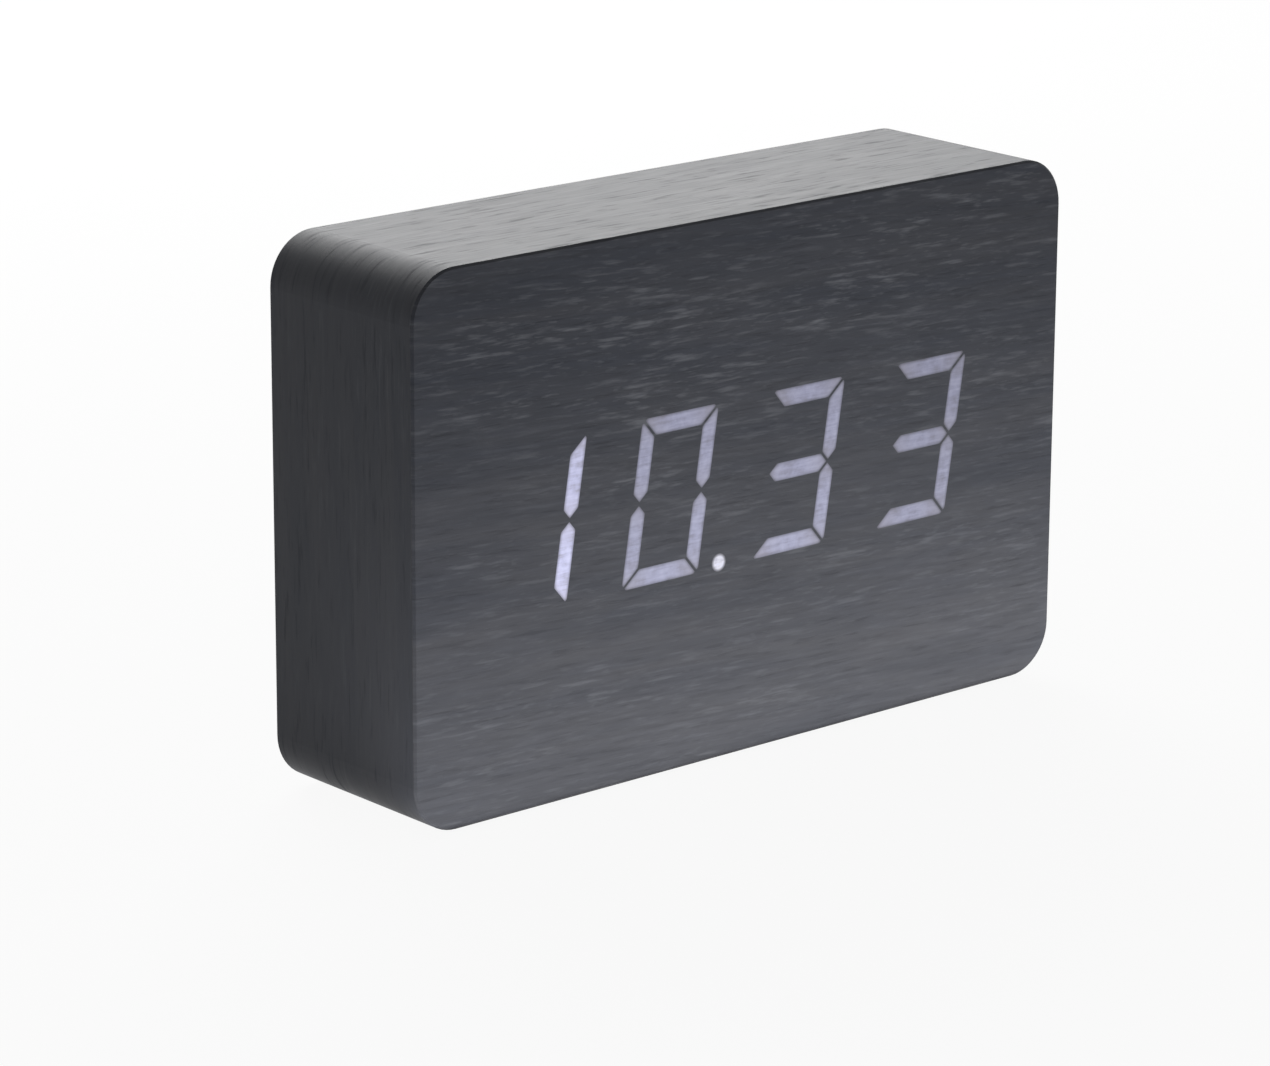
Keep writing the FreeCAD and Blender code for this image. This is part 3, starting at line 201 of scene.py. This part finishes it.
def stained_veneer(name, along, across, contrast, pore_sheen_strength, thinning, paling_and_painted_light, groove,
                   slope=0.0, round_block=False):
    """Black-stained veneer.

    along and across are how often the grain changes, per metre, and contrast is how far the
    fibres go from the mean tone.  pore_sheen_strength is the strength of a painted sheen, a
    silver glint laid into the colour of the open pores.  thinning and paling_and_painted_light
    are shares at the lowest and the highest point, of that painted sheen and of the paler
    stain, which stands partly for paler wood and partly for painted light on the lower block.
    groove is the depth of the grain in metres, and slope its angle on the sheet.
    round_block is for the band, whose grain runs round the block and not across the front.
    """
    finish, tree, shader, place = blank_finish(name)
    drift = tree.nodes.new("ShaderNodeTexNoise")
    drift.inputs["Scale"].default_value = SWAYS_PER_METRE
    drift.inputs["Detail"].default_value = 2
    tree.links.new(place, drift.inputs["Vector"])
    swayed = tree.nodes.new("ShaderNodeVectorMath")
    swayed.operation = "MULTIPLY_ADD"
    tree.links.new(drift.outputs["Color"], swayed.inputs[0])
    swayed.inputs[1].default_value = (SWAY, SWAY, SWAY)
    tree.links.new(mapped(tree, place, turn=(0, slope, 0)), swayed.inputs[2])

    def grain(long_size, thin_size, detail, shift=(0, 0, 0), rough=0.5, warp=0, tilt=0.0):
        """Noise that is thin across the grain and long along it."""
        scale = [long_size, long_size, long_size]
        scale[1 if round_block else 2] = thin_size
        stretched = mapped(tree, swayed.outputs["Vector"], scale, shift, (0, tilt, 0))
        return noise(tree, stretched, 1, detail, rough, warp)

    fibres = grain(along * 0.6, across * 1.4, 3, rough=0.6)
    pores = grain(along, across, 3, (3.1, 7.7, 1.9))
    flecks = grain(along * 2.5, across * 1.5, 2, (9.3, 2.7, 5.1))
    patches = grain(PATCH_ALONG, PATCH_ACROSS, 3, (1.3, 4.1, 8.7), rough=0.6)
    tilt = math.atan(math.tan(GROWTH_SLOPE - slope) * GROWTH_ACROSS / GROWTH_ALONG)
    growth = grain(GROWTH_ALONG, GROWTH_ACROSS, 4, (6.2, 3.3, 2.4), 0.6, 0.5, tilt)

    height = part_of(tree, place, "Z")
    # Painted light: the share of the paler tone grows towards the bottom, partly paler wood and
    # partly painted light; the growth bands are the wood's own paler streaks.
    pale_wood_and_painted_light = reckon(tree, "ADD", shade(tree, height, *paling_and_painted_light, VENEER_LOW, VENEER_HIGH),
                  shade(tree, growth, -GROWTH_PALING, GROWTH_PALING, 0.32, 0.68))
    ground = brightened(tree, blend_colours(tree, pale_wood_and_painted_light, STAIN, STAIN_PALE),
                        shade(tree, fibres, 1 - contrast, 1 + contrast, 0.3, 0.7))
    # Painted sheen: a silver glint laid into the pores' colour, in patches and heavier towards
    # the top.
    amount = reckon(tree, "MULTIPLY", shade(tree, patches, 0.25, 1.15, 0.38, 0.66),
                    shade(tree, height, *thinning, PORES_FADE_OUT, VENEER_HIGH))
    pore_sheen = reckon(tree, "MAXIMUM", shade(tree, pores, 0, 1, 0.56, 0.73),
                    shade(tree, flecks, 0, 0.5, 0.57, 0.74))
    pore_sheen = reckon(tree, "MULTIPLY", reckon(tree, "MULTIPLY", pore_sheen, amount), pore_sheen_strength)
    deep = shade(tree, pores, 1, 0, 0.28, 0.42)
    colour = blend_colours(tree, pore_sheen, ground, PAINTED_PORE_SHEEN)
    colour = blend_colours(tree, reckon(tree, "MULTIPLY", deep, DEEP_SHARE), colour, DEEP_PORE)
    tree.links.new(colour, shader.inputs["Base Color"])
    spread = 0.75 * contrast
    grip = shade(tree, fibres, LACQUER_ROUGHNESS - spread, LACQUER_ROUGHNESS + spread, 0.3, 0.7)
    tree.links.new(reckon(tree, "ADD", grip, reckon(tree, "MULTIPLY", deep, 0.15)),
                   shader.inputs["Roughness"])
    shader.inputs["Specular IOR Level"].default_value = LACQUER_GLOSS
    ridges = reckon(tree, "ADD", fibres, reckon(tree, "MULTIPLY", deep, -0.8))
    relief(tree, shader, ridges, groove, 0.7)
    return finish


# The front pales most towards its bottom, as painted light from below and paler wood; the rear
# sheet and the band pale a little.
dress(stained_veneer("front_sheet", along=128, across=1130, contrast=0.12, pore_sheen_strength=0.55,
                     thinning=(0.42, 1.12), paling_and_painted_light=(0.77, 0.24), groove=0.00003,
                     slope=SHEET_SLOPE),
      "front_veneer")
dress(stained_veneer("rear_sheet", along=120, across=1250, contrast=0.1, pore_sheen_strength=0.4,
                     thinning=(0.6, 0.9), paling_and_painted_light=(0.55, 0.5), groove=0.00003),
      "rear_veneer")
dress(stained_veneer("bent_band", along=130, across=1250, contrast=0.05, pore_sheen_strength=0.2,
                     thinning=(0.5, 0.9), paling_and_painted_light=(0.45, 0.35), groove=0.000007,
                     round_block=True),
      "veneer_band")

# ----------------------------------------------------------------- the feet
# Four thin pads of soft black rubber, die-cut and stuck under the block so that it doesn't
# mark or slide on a shelf.
PAD_BLACK, PAD_GREY = (0.012, 0.012, 0.012), (0.028, 0.028, 0.029)


def soft_rubber():
    """Matt rubber with a fine grit."""
    finish, tree, shader, place = blank_finish("pad_rubber")
    grit = noise(tree, place, 3500)
    tree.links.new(ramp(tree, grit, (0.3, PAD_BLACK), (0.7, PAD_GREY)),
                   shader.inputs["Base Color"])
    tree.links.new(shade(tree, grit, 0.7, 0.9), shader.inputs["Roughness"])
    shader.inputs["Specular IOR Level"].default_value = 0.3
    relief(tree, shader, grit, 0.00004, 0.6)
    return finish


dress(soft_rubber(), "foot_front_left", "foot_front_right", "foot_rear_left", "foot_rear_right")

# ------------------------------------------- the diffuser and the light wells
# Behind the front wall lies a matt film that evens out the light, and behind it a black
# moulded block with a light well for every segment.


def weighted(tree, first, second, share):
    """Two values added up, the first by its share and the second by the rest."""
    return reckon(tree, "ADD", reckon(tree, "MULTIPLY", first, share),
                  reckon(tree, "MULTIPLY", second, 1 - share))


def moulded(name, low, high, grit_per_metre, roughness):
    """Moulded plastic with a fine texture from the tool: two near shades, roughness and bump."""
    finish, tree, shader, place = blank_finish(name)
    grit = noise(tree, place, grit_per_metre, detail=3, rough=0.6)
    both = weighted(tree, grit, noise(tree, place, 60), 0.6)
    tree.links.new(ramp(tree, both, (0.35, low), (0.65, high)), shader.inputs["Base Color"])
    tree.links.new(shade(tree, both, roughness - 0.08, roughness + 0.08, 0.3, 0.7),
                   shader.inputs["Roughness"])
    shader.inputs["Specular IOR Level"].default_value = 0.4
    relief(tree, shader, grit, 0.00003, 0.7)
    return finish


dress(moulded("diffusing_film", (0.78, 0.78, 0.76), (0.86, 0.86, 0.84),
              grit_per_metre=2000, roughness=0.75),
      "diffuser_film")
dress(moulded("well_block", (0.012, 0.012, 0.012), (0.022, 0.022, 0.023),
              grit_per_metre=1800, roughness=0.5),
      "display_reflector")

# ------------------------------------------- the display board and its chips
# A glass-fibre board under green mask closes the wells from behind.  Its copper tracks show
# through the mask as lighter lines, and yellowish chips on it light the wells.
MASK_GREEN, MASK_GREEN_PALE = (0.008, 0.085, 0.035), (0.014, 0.115, 0.05)
MASK_OVER_COPPER = (0.03, 0.22, 0.09, 1)
TRACK_WIDTH, TRACK_RUN, TRACK_STEP = 0.00022, 0.0064, 0.0021


def solder_mask():
    """Green mask over a woven board, with a grid of broken tracks across it."""
    finish, tree, shader, place = blank_finish("solder_mask")
    weave = noise(tree, place, 900)
    tracks = tree.nodes.new("ShaderNodeTexBrick")
    tracks.inputs["Scale"].default_value = 1
    tracks.inputs["Mortar Size"].default_value = TRACK_WIDTH
    tracks.inputs["Mortar Smooth"].default_value = 0.2
    tracks.inputs["Brick Width"].default_value = TRACK_RUN
    tracks.inputs["Row Height"].default_value = TRACK_STEP
    tracks.offset = 0.37
    tracks.squash = 1.6
    tracks.squash_frequency = 3
    tree.links.new(mapped(tree, place, turn=(math.radians(90), 0, 0)), tracks.inputs["Vector"])
    green = ramp(tree, weave, (0.3, MASK_GREEN), (0.7, MASK_GREEN_PALE))
    copper = reckon(tree, "MULTIPLY", tracks.outputs["Fac"], 0.75)
    tree.links.new(blend_colours(tree, copper, green, MASK_OVER_COPPER),
                   shader.inputs["Base Color"])
    tree.links.new(shade(tree, weave, 0.25, 0.4), shader.inputs["Roughness"])
    relief(tree, shader, tracks.outputs["Fac"], 0.00004, 0.8)
    return finish


board_green = solder_mask()
dress(board_green, "display_board")
dress(moulded("chip_packages", (0.75, 0.68, 0.38), (0.85, 0.83, 0.66),
              grit_per_metre=1500, roughness=0.4),
      "segment_leds")

# -------------------------------------------- the inside screws and headers
# Zinc-plated screws hold the display to the core and the main board to the cover.  The two
# headers that take the display's cable are moulded in natural nylon.
THREAD_PITCH = 0.0008


def even_waves(tree, place, axis, pitch):
    """Waves along an axis; at scale 1 a Wave texture repeats every 2 pi / 20 of a metre."""
    waves = tree.nodes.new("ShaderNodeTexWave")
    waves.bands_direction = axis
    waves.inputs["Scale"].default_value = 2 * math.pi / 20 / pitch
    tree.links.new(place, waves.inputs["Vector"])
    return waves.outputs["Fac"]


def plated_screws(name, low, high, roughness):
    """Plated steel screws, with the thread drawn on the shank as fine rings along Y."""
    finish, tree, shader, place = blank_finish(name)
    scuffs = noise(tree, place, 1400, detail=3, rough=0.7)
    tree.links.new(ramp(tree, scuffs, (0.3, low), (0.7, high)), shader.inputs["Base Color"])
    shader.inputs["Metallic"].default_value = 1
    tree.links.new(shade(tree, scuffs, roughness - 0.1, roughness + 0.1, 0.3, 0.7),
                   shader.inputs["Roughness"])
    relief(tree, shader, even_waves(tree, place, "Y", THREAD_PITCH), 0.0002, 0.5)
    return finish


dress(plated_screws("zinc_screws", (0.42, 0.42, 0.43), (0.62, 0.62, 0.63), roughness=0.35),
      "display_screws", "board_screws")
dress(moulded("natural_nylon", (0.62, 0.59, 0.52), (0.76, 0.73, 0.66),
              grit_per_metre=1200, roughness=0.45),
      "display_header", "main_header")

# ------------------------------------------------------- the lit segments
# White light from the wells shines through the thin veneer, so each segment glows lavender,
# is mottled by the grain and fades towards its edges and its ends.
GLOW = (0.450, 0.458, 0.660)
GLOW_DIM = (0.29, 0.285, 0.385)
GLOW_STREAK = (0.58, 0.59, 0.81)
GLOW_END = (0.405, 0.385, 0.470, 1)
POINT_GLOW = (0.62, 0.62, 0.70)
DIGIT_LEVELS = {"lit_digit_hour_tens": 1.08, "lit_digit_hours": 0.60,
                "lit_digit_minute_tens": 0.58, "lit_digit_minutes": 0.49}
POINT_LEVEL = 0.97
LOW_SEGMENTS, HIGH_SEGMENTS = 0.036, 0.065
LOW_GAIN, HIGH_GAIN = 1.12, 0.88
END_SHARE = 0.6  # how far a segment's ends go to their own colour
FULL_LIGHT, EDGE_LIGHT, SIDE_LIGHT = 1.02, 0.34, 0.2
FADE_WIDTH, HALF_SEGMENT = 0.0007, 0.0068
CUTS = 12
WELD, NEARLY_FLAT = 0.00001, math.radians(2)


def light_through_veneer(name, level, middle):
    """The glow of one digit: brightest in the middle of a segment and mottled by the grain."""
    finish, tree, shader, place = blank_finish(name)
    edge = tree.nodes.new("ShaderNodeAttribute")
    edge.attribute_name = "edge_glow"
    end = tree.nodes.new("ShaderNodeAttribute")
    end.attribute_name = "end_share"
    fibres = noise(tree, mapped(tree, place, (160, 160, 1400)), 1, detail=3, rough=0.6)
    mottle = noise(tree, mapped(tree, place, (420, 420, 380), (4, 1, 7)), 1, detail=3, rough=0.6)
    glow = ramp(tree, weighted(tree, fibres, mottle, 0.5),
                (0.34, GLOW_DIM), (0.50, middle), (0.66, GLOW_STREAK))
    glow = blend_colours(tree, reckon(tree, "MULTIPLY", end.outputs["Fac"], END_SHARE), glow,
                         GLOW_END)
    gain = shade(tree, part_of(tree, place, "Z"), LOW_GAIN, HIGH_GAIN,
                 LOW_SEGMENTS, HIGH_SEGMENTS)
    gain = reckon(tree, "MULTIPLY", reckon(tree, "MULTIPLY", edge.outputs["Fac"], gain), level)
    tree.links.new(brightened(tree, glow, gain), shader.inputs["Emission Color"])
    shader.inputs["Emission Strength"].default_value = 1
    shader.inputs["Base Color"].default_value = STAIN_PALE
    shader.inputs["Roughness"].default_value = 0.5
    shader.inputs["Specular IOR Level"].default_value = LACQUER_GLOSS
    return finish


def faces_forward(face):
    """Whether a face is part of the block's front."""
    return face.normal.y < -0.9


def select_faces_where(piece, wanted):
    """Edit a piece with only the wanted faces selected."""
    bpy.ops.object.select_all(action="DESELECT")
    piece.select_set(True)
    bpy.context.view_layer.objects.active = piece
    bpy.ops.object.mode_set(mode="EDIT")
    bpy.ops.mesh.select_mode(type="FACE")
    bpy.ops.mesh.select_all(action="DESELECT")
    bpy.ops.object.mode_set(mode="OBJECT")
    for face in piece.data.polygons:
        face.select = wanted(face)
    bpy.ops.object.mode_set(mode="EDIT")


def edge_fade(spot, outline):
    """The share of light left at a spot: each edge of the outline near it takes some away."""
    left = 1.0
    for start, run in outline:
        share = min(1, max(0, (spot - start).dot(run) / run.length_squared))
        depth = min(1, (spot - start - run * share).length / FADE_WIDTH)
        left *= EDGE_LIGHT + (1 - EDGE_LIGHT) * depth * (2 - depth)
    return left


def glowing_copy(name, level, middle, half_length):
    """A copy of a CAD segment group, its front cut fine and lit by how deep a spot lies in it."""
    source = nodes[name]
    piece = source.copy()
    piece.data = source.data.copy()
    piece.name = f"{name}_glow"
    bpy.context.collection.objects.link(piece)
    select_faces_where(piece, lambda face: True)
    bpy.ops.mesh.remove_doubles(threshold=WELD)
    bpy.ops.mesh.dissolve_limited(angle_limit=NEARLY_FLAT)
    bpy.ops.object.mode_set(mode="OBJECT")
    fronts = [face for face in piece.data.polygons if faces_forward(face)]
    centres = [face.center.xz for face in fronts]
    corners = piece.data.vertices
    outline = [(corners[first].co.xz, corners[last].co.xz - corners[first].co.xz)
               for face in fronts for first, last in face.edge_keys]
    front = fronts[0].center.y
    select_faces_where(piece, faces_forward)
    bpy.ops.mesh.poke()
    bpy.ops.mesh.subdivide(number_cuts=CUTS)
    bpy.ops.object.mode_set(mode="OBJECT")
    glow = piece.data.attributes.new("edge_glow", "FLOAT", "POINT")
    end = piece.data.attributes.new("end_share", "FLOAT", "POINT")
    for corner, edge_share, end_share in zip(piece.data.vertices, glow.data, end.data):
        if corner.co.y > front + WELD:
            edge_share.value = SIDE_LIGHT
            continue
        spot = corner.co.xz
        reach = min((spot - centre).length for centre in centres) / half_length
        edge_share.value = FULL_LIGHT * edge_fade(spot, outline)
        end_share.value = min(1, reach) ** 2
    piece.data.materials.clear()
    piece.data.materials.append(light_through_veneer(f"{name}_light", level, middle))
    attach(piece, "clock_case")
    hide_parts(name)


for digit, level in DIGIT_LEVELS.items():
    glowing_copy(digit, level, GLOW, HALF_SEGMENT)
glowing_copy("lit_point", POINT_LEVEL, POINT_GLOW, math.inf)

# ------------------------------------------------------ the display's ribbon
# A flat grey cable of ten cores from the main board to the display board, moulded in one web,
# so that fine grooves run along it.
WEB_GREY, WEB_GREY_PALE = (0.30, 0.30, 0.31), (0.38, 0.38, 0.39)
CORE_PITCH = 0.0014


def ribbed_web():
    """Grey PVC with a groove between each core and the next."""
    finish, tree, shader, place = blank_finish("ribbon_web")
    cloudy = noise(tree, place, 200)
    tree.links.new(ramp(tree, cloudy, (0.3, WEB_GREY), (0.7, WEB_GREY_PALE)),
                   shader.inputs["Base Color"])
    tree.links.new(shade(tree, cloudy, 0.45, 0.6), shader.inputs["Roughness"])
    relief(tree, shader, even_waves(tree, place, "X", CORE_PITCH), 0.0002, 0.8)
    return finish


dress(ribbed_web(), "display_ribbon")

# ------------------------------------------------------------ the rear cover
# One moulding in black plastic with a spark-eroded texture: the plate, the battery tub, the
# bosses for the board, the sound holes and the recess for the door.  Black screws hold it.
dress(moulded("spark_textured_black", (0.013, 0.013, 0.014), (0.024, 0.024, 0.025),
              grit_per_metre=2400, roughness=0.55),
      "rear_cover")
dress(plated_screws("black_screws", (0.05, 0.05, 0.052), (0.10, 0.10, 0.105), roughness=0.4),
      "cover_screws")

# ---------------------------------------------------------- the battery door
# A separate moulding of the same plastic from another tool, a touch finer, with grip ribs.
# It hooks in by two tabs at one edge and snaps shut at the other.
dress(moulded("door_black", (0.015, 0.015, 0.016), (0.027, 0.027, 0.028),
              grit_per_metre=3000, roughness=0.5),
      "battery_door")

# ------------------------------------------------------------- the batteries
# Four plain AAA cells: a printed shrink sleeve in deep green with a pale grey band at the
# positive end, a bright steel nub and a bright steel base.
CELL_LENGTH = 0.0445
NUB_END, BAND_END, LINE_END, BASE_START = 0.030, 0.25, 0.27, 0.985
CELL_STEEL, BAND_GREY = (0.55, 0.55, 0.56), (0.52, 0.53, 0.52)
SLEEVE_GREEN, GOLD_LINE = (0.012, 0.105, 0.060), (0.60, 0.45, 0.06)
SCUFFED = (0.1, 0.1, 0.1, 1)
METAL, PRINT = (1, 1, 1), (0, 0, 0)


def cell_sleeve(name, nub_x, way):
    """The sleeve's colours go by the distance from the nub along X, as shares of the length."""
    finish, tree, shader, place = blank_finish(name)
    reach = reckon(tree, "SUBTRACT", nub_x, part_of(tree, place, "X"))
    share = shade(tree, reckon(tree, "MULTIPLY", reach, way), 0, 1, 0, CELL_LENGTH)
    grain = noise(tree, place, 700)
    band = ramp(tree, share, (0.0, CELL_STEEL), (NUB_END, BAND_GREY), (BAND_END, GOLD_LINE),
                (LINE_END, SLEEVE_GREEN), (BASE_START, CELL_STEEL))
    metal = ramp(tree, share, (0.0, METAL), (NUB_END, PRINT), (BASE_START, METAL))
    for sharp in (band, metal):
        sharp.node.color_ramp.interpolation = "CONSTANT"
    tree.links.new(blend_colours(tree, reckon(tree, "MULTIPLY", grain, 0.15), band, SCUFFED),
                   shader.inputs["Base Color"])
    tree.links.new(metal, shader.inputs["Metallic"])
    tree.links.new(shade(tree, grain, 0.25, 0.38), shader.inputs["Roughness"])
    return finish


for number in range(1, 5):
    low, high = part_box(f"battery_cell_{number}")
    nub_x, way = (high.x, 1) if number % 2 else (low.x, -1)
    dress(cell_sleeve(f"cell_sleeve_{number}", nub_x, way), f"battery_cell_{number}")

# --------------------------------------------------------- the cell contacts
# Stamped and bent strips of nickel-plated spring steel, pushed into slots in the battery tub:
# one for each pole of the row, and three links that join one cell to the next.


def plated_strip(name, low, high):
    """Bright plated metal with the faint lines of the rolling mill."""
    finish, tree, shader, place = blank_finish(name)
    rolled = noise(tree, mapped(tree, place, (900, 900, 90)), 1, detail=3, rough=0.6)
    tree.links.new(ramp(tree, rolled, (0.3, low), (0.7, high)), shader.inputs["Base Color"])
    shader.inputs["Metallic"].default_value = 1
    tree.links.new(shade(tree, rolled, 0.18, 0.38), shader.inputs["Roughness"])
    relief(tree, shader, rolled, 0.00001, 0.6)
    return finish


dress(plated_strip("nickel_strip", (0.50, 0.48, 0.43), (0.68, 0.66, 0.61)),
      "contact_positive", "contact_negative", "contact_link_1", "contact_link_2",
      "contact_link_3")

# --------------------------------------------------------- the battery leads
# Two stranded wires in soft PVC, a red one from the positive contact and a black one from the
# negative, both soldered to the main board.
dress(moulded("red_wire", (0.42, 0.012, 0.010), (0.52, 0.022, 0.016),
              grit_per_metre=900, roughness=0.4),
      "battery_lead_red")
dress(moulded("black_wire", (0.010, 0.010, 0.010), (0.02, 0.02, 0.02),
              grit_per_metre=900, roughness=0.4),
      "battery_lead_black")

# ------------------------------------------------------------ the main board
# Green board, made like the display's, on the cover's bosses.  The controller and the driver
# on it are cases of black epoxy, each with a row of tinned legs along two sides.
EPOXY_BLACK, EPOXY_GREY = (0.012, 0.012, 0.012), (0.024, 0.024, 0.024)
TINNED = (0.62, 0.62, 0.60, 1)
CASE_WIDTHS = {"controller_chip": 0.0075, "display_driver": 0.0039}


def epoxy_and_legs(name, middle, case_width):
    """Black epoxy within the case's width, tinned legs beyond it."""
    finish, tree, shader, place = blank_finish(name)
    off = reckon(tree, "SUBTRACT", part_of(tree, place, "Z"), middle)
    leg = reckon(tree, "GREATER_THAN", reckon(tree, "ABSOLUTE", off, 0), case_width / 2)
    grit = noise(tree, place, 2200)
    epoxy = ramp(tree, grit, (0.3, EPOXY_BLACK), (0.7, EPOXY_GREY))
    tree.links.new(blend_colours(tree, leg, epoxy, TINNED), shader.inputs["Base Color"])
    tree.links.new(leg, shader.inputs["Metallic"])
    tree.links.new(shade(tree, grit, 0.4, 0.6), shader.inputs["Roughness"])
    relief(tree, shader, grit, 0.00002, 0.6)
    return finish


dress(board_green, "main_board")
for chip, case_width in CASE_WIDTHS.items():
    low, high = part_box(chip)
    dress(epoxy_and_legs(f"{chip}_epoxy", (low.z + high.z) / 2, case_width), chip)

# ---------------------------------------------------- the board's small parts
# Resistors and transistors in dark glaze; the crystal, the capacitor and the microphone in
# drawn cans; a black buzzer; and a sensor dipped in brown epoxy.
dress(moulded("resistor_glaze", (0.05, 0.05, 0.055), (0.09, 0.09, 0.095),
              grit_per_metre=1800, roughness=0.3),
      "chip_resistors", "driver_transistors")
drawn_can = plated_strip("drawn_can", (0.55, 0.55, 0.56), (0.72, 0.72, 0.73))
dress(drawn_can, "clock_crystal", "supply_capacitor", "microphone")
dress(moulded("buzzer_shell", (0.010, 0.010, 0.010), (0.018, 0.018, 0.018),
              grit_per_metre=1500, roughness=0.3),
      "buzzer")
dress(moulded("dipped_epoxy", (0.030, 0.016, 0.010), (0.045, 0.025, 0.015),
              grit_per_metre=800, roughness=0.2),
      "temperature_sensor")

# ---------------------------------------------------------- the power socket
# A black moulding on the board whose collar fills the cover's hole, with a bright turned pin
# in the middle of its bore.
dress(moulded("socket_moulding", (0.009, 0.009, 0.009), (0.016, 0.016, 0.016),
              grit_per_metre=2600, roughness=0.35),
      "dc_socket")
dress(drawn_can, "dc_socket_pin")

# --------------------------------------------------- the buttons and switches
# Three caps in satin dark grey plastic, each on the white plunger of a small tact switch that
# is soldered to the board.
dress(moulded("button_satin", (0.050, 0.050, 0.053), (0.066, 0.066, 0.070),
              grit_per_metre=2200, roughness=0.42),
      "set_button", "up_button", "down_button")
dress(moulded("switch_shell", (0.014, 0.014, 0.014), (0.026, 0.026, 0.026),
              grit_per_metre=2000, roughness=0.45),
      "set_switch_body", "up_switch_body", "down_switch_body")
dress(moulded("plunger_white", (0.60, 0.60, 0.58), (0.70, 0.70, 0.68),
              grit_per_metre=1500, roughness=0.4),
      "set_switch_plunger", "up_switch_plunger", "down_switch_plunger")

# ------------------------------------------------------ the floor and the walls
# A pale paper floor under the block, which keeps its shadow, and an even white surround.  Both
# look white, and the surround gives the block only a little light.
FLOOR_SIZE = 6
FLOOR_GREY = (0.86, 0.86, 0.86, 1)
FLOOR_WHITENED = 0.93
SURROUND_LIGHT = 0.15


def seen_as_white(tree):
    """1 for what the camera sees straight on, in a gloss or through glass."""
    rays = tree.nodes.new("ShaderNodeLightPath")
    return reckon(tree, "MAXIMUM", rays.outputs["Is Camera Ray"],
                  reckon(tree, "MAXIMUM", rays.outputs["Is Glossy Ray"],
                         rays.outputs["Is Transmission Ray"]))


def floor_paper():
    """Grey paper that is laid over with plain white where it is seen."""
    paint = bpy.data.materials.new("floor_paint")
    paint.use_nodes = True
    tree = paint.node_tree
    paper = tree.nodes["Principled BSDF"]
    paper.inputs["Base Color"].default_value = FLOOR_GREY
    paper.inputs["Roughness"].default_value = 0.9
    white = tree.nodes.new("ShaderNodeEmission")
    white.inputs["Strength"].default_value = 1
    either = tree.nodes.new("ShaderNodeMixShader")
    tree.links.new(reckon(tree, "MULTIPLY", seen_as_white(tree), FLOOR_WHITENED),
                   either.inputs["Fac"])
    tree.links.new(paper.outputs["BSDF"], either.inputs[1])
    tree.links.new(white.outputs["Emission"], either.inputs[2])
    tree.links.new(either.outputs["Shader"], tree.nodes["Material Output"].inputs["Surface"])
    return paint


bpy.ops.mesh.primitive_plane_add(size=FLOOR_SIZE, location=(0, 0, 0))
floor = bpy.context.active_object
floor.name = "studio_floor"
floor.data.materials.append(floor_paper())

world = bpy.data.worlds.new("studio")
bpy.context.scene.world = world
world.use_nodes = True
walls = world.node_tree
surround = walls.nodes["Background"]
surround.inputs["Color"].default_value = (1, 1, 1, 1)
walls.links.new(shade(walls, seen_as_white(walls), SURROUND_LIGHT, 1.0),
                surround.inputs["Strength"])

# ------------------------------------------------------------------ the lamps
# A large soft box high behind the block lights its top, and a low panel in front of it throws
# light up the front, as a pale table would.


def soft_lamp(name, place, aim, size, power, glossy=True):
    """An oblong soft box that the camera doesn't see."""
    light = bpy.data.lights.new(name, "AREA")
    light.shape = "RECTANGLE"
    light.size, light.size_y = size
    light.energy = power
    lamp = bpy.data.objects.new(name, light)
    bpy.context.scene.collection.objects.link(lamp)
    lamp.location = place
    lamp.rotation_euler = (Vector(aim) - Vector(place)).to_track_quat("-Z", "Y").to_euler()
    lamp.visible_camera = False
    lamp.visible_glossy = glossy


soft_lamp("rear_box", place=(0.36, 0.73, 0.53), aim=(0, 0, 0.07), size=(0.9, 0.6), power=7.3)
soft_lamp("floor_bounce", place=(0.005, -0.068, 0.001), aim=(0.005, -0.068, 1),
          size=(0.27, 0.096), power=0.37, glossy=False)

# ----------------------------------------------------------------- the camera
# A long lens looks from the front left, a little above the block.  The angles are in radians
# and the lengths in metres, but for the lens and its film, which are in millimetres.
FOCAL, FILM = 141.71, 36.0
AZIMUTH, ELEVATION, ROLL = -0.71621, 0.27976, 0.00503
DISTANCE, SIDE_SHIFT, RISE = 0.88338, -0.0076, -0.01253
BLOCK_MIDDLE = Vector((0, 0, 0.0495))

back = Vector((math.sin(AZIMUTH) * math.cos(ELEVATION),
               -math.cos(AZIMUTH) * math.cos(ELEVATION), math.sin(ELEVATION)))
right = (-back).cross(Vector((0, 0, 1))).normalized()
up = right.cross(-back)
right, up = (right * math.cos(ROLL) + up * math.sin(ROLL),
             up * math.cos(ROLL) - right * math.sin(ROLL))
target = BLOCK_MIDDLE + right * SIDE_SHIFT + up * RISE
lens = bpy.data.cameras.new("studio_camera")
lens.lens = FOCAL
lens.sensor_width = FILM
lens.clip_start = 0.01
camera = bpy.data.objects.new("studio_camera", lens)
bpy.context.scene.collection.objects.link(camera)
camera.matrix_world = (Matrix.Translation(target + back * DISTANCE)
                       @ Matrix((right, up, back)).transposed().to_4x4())
bpy.context.scene.camera = camera
bpy.context.scene.view_settings.view_transform = "Standard"
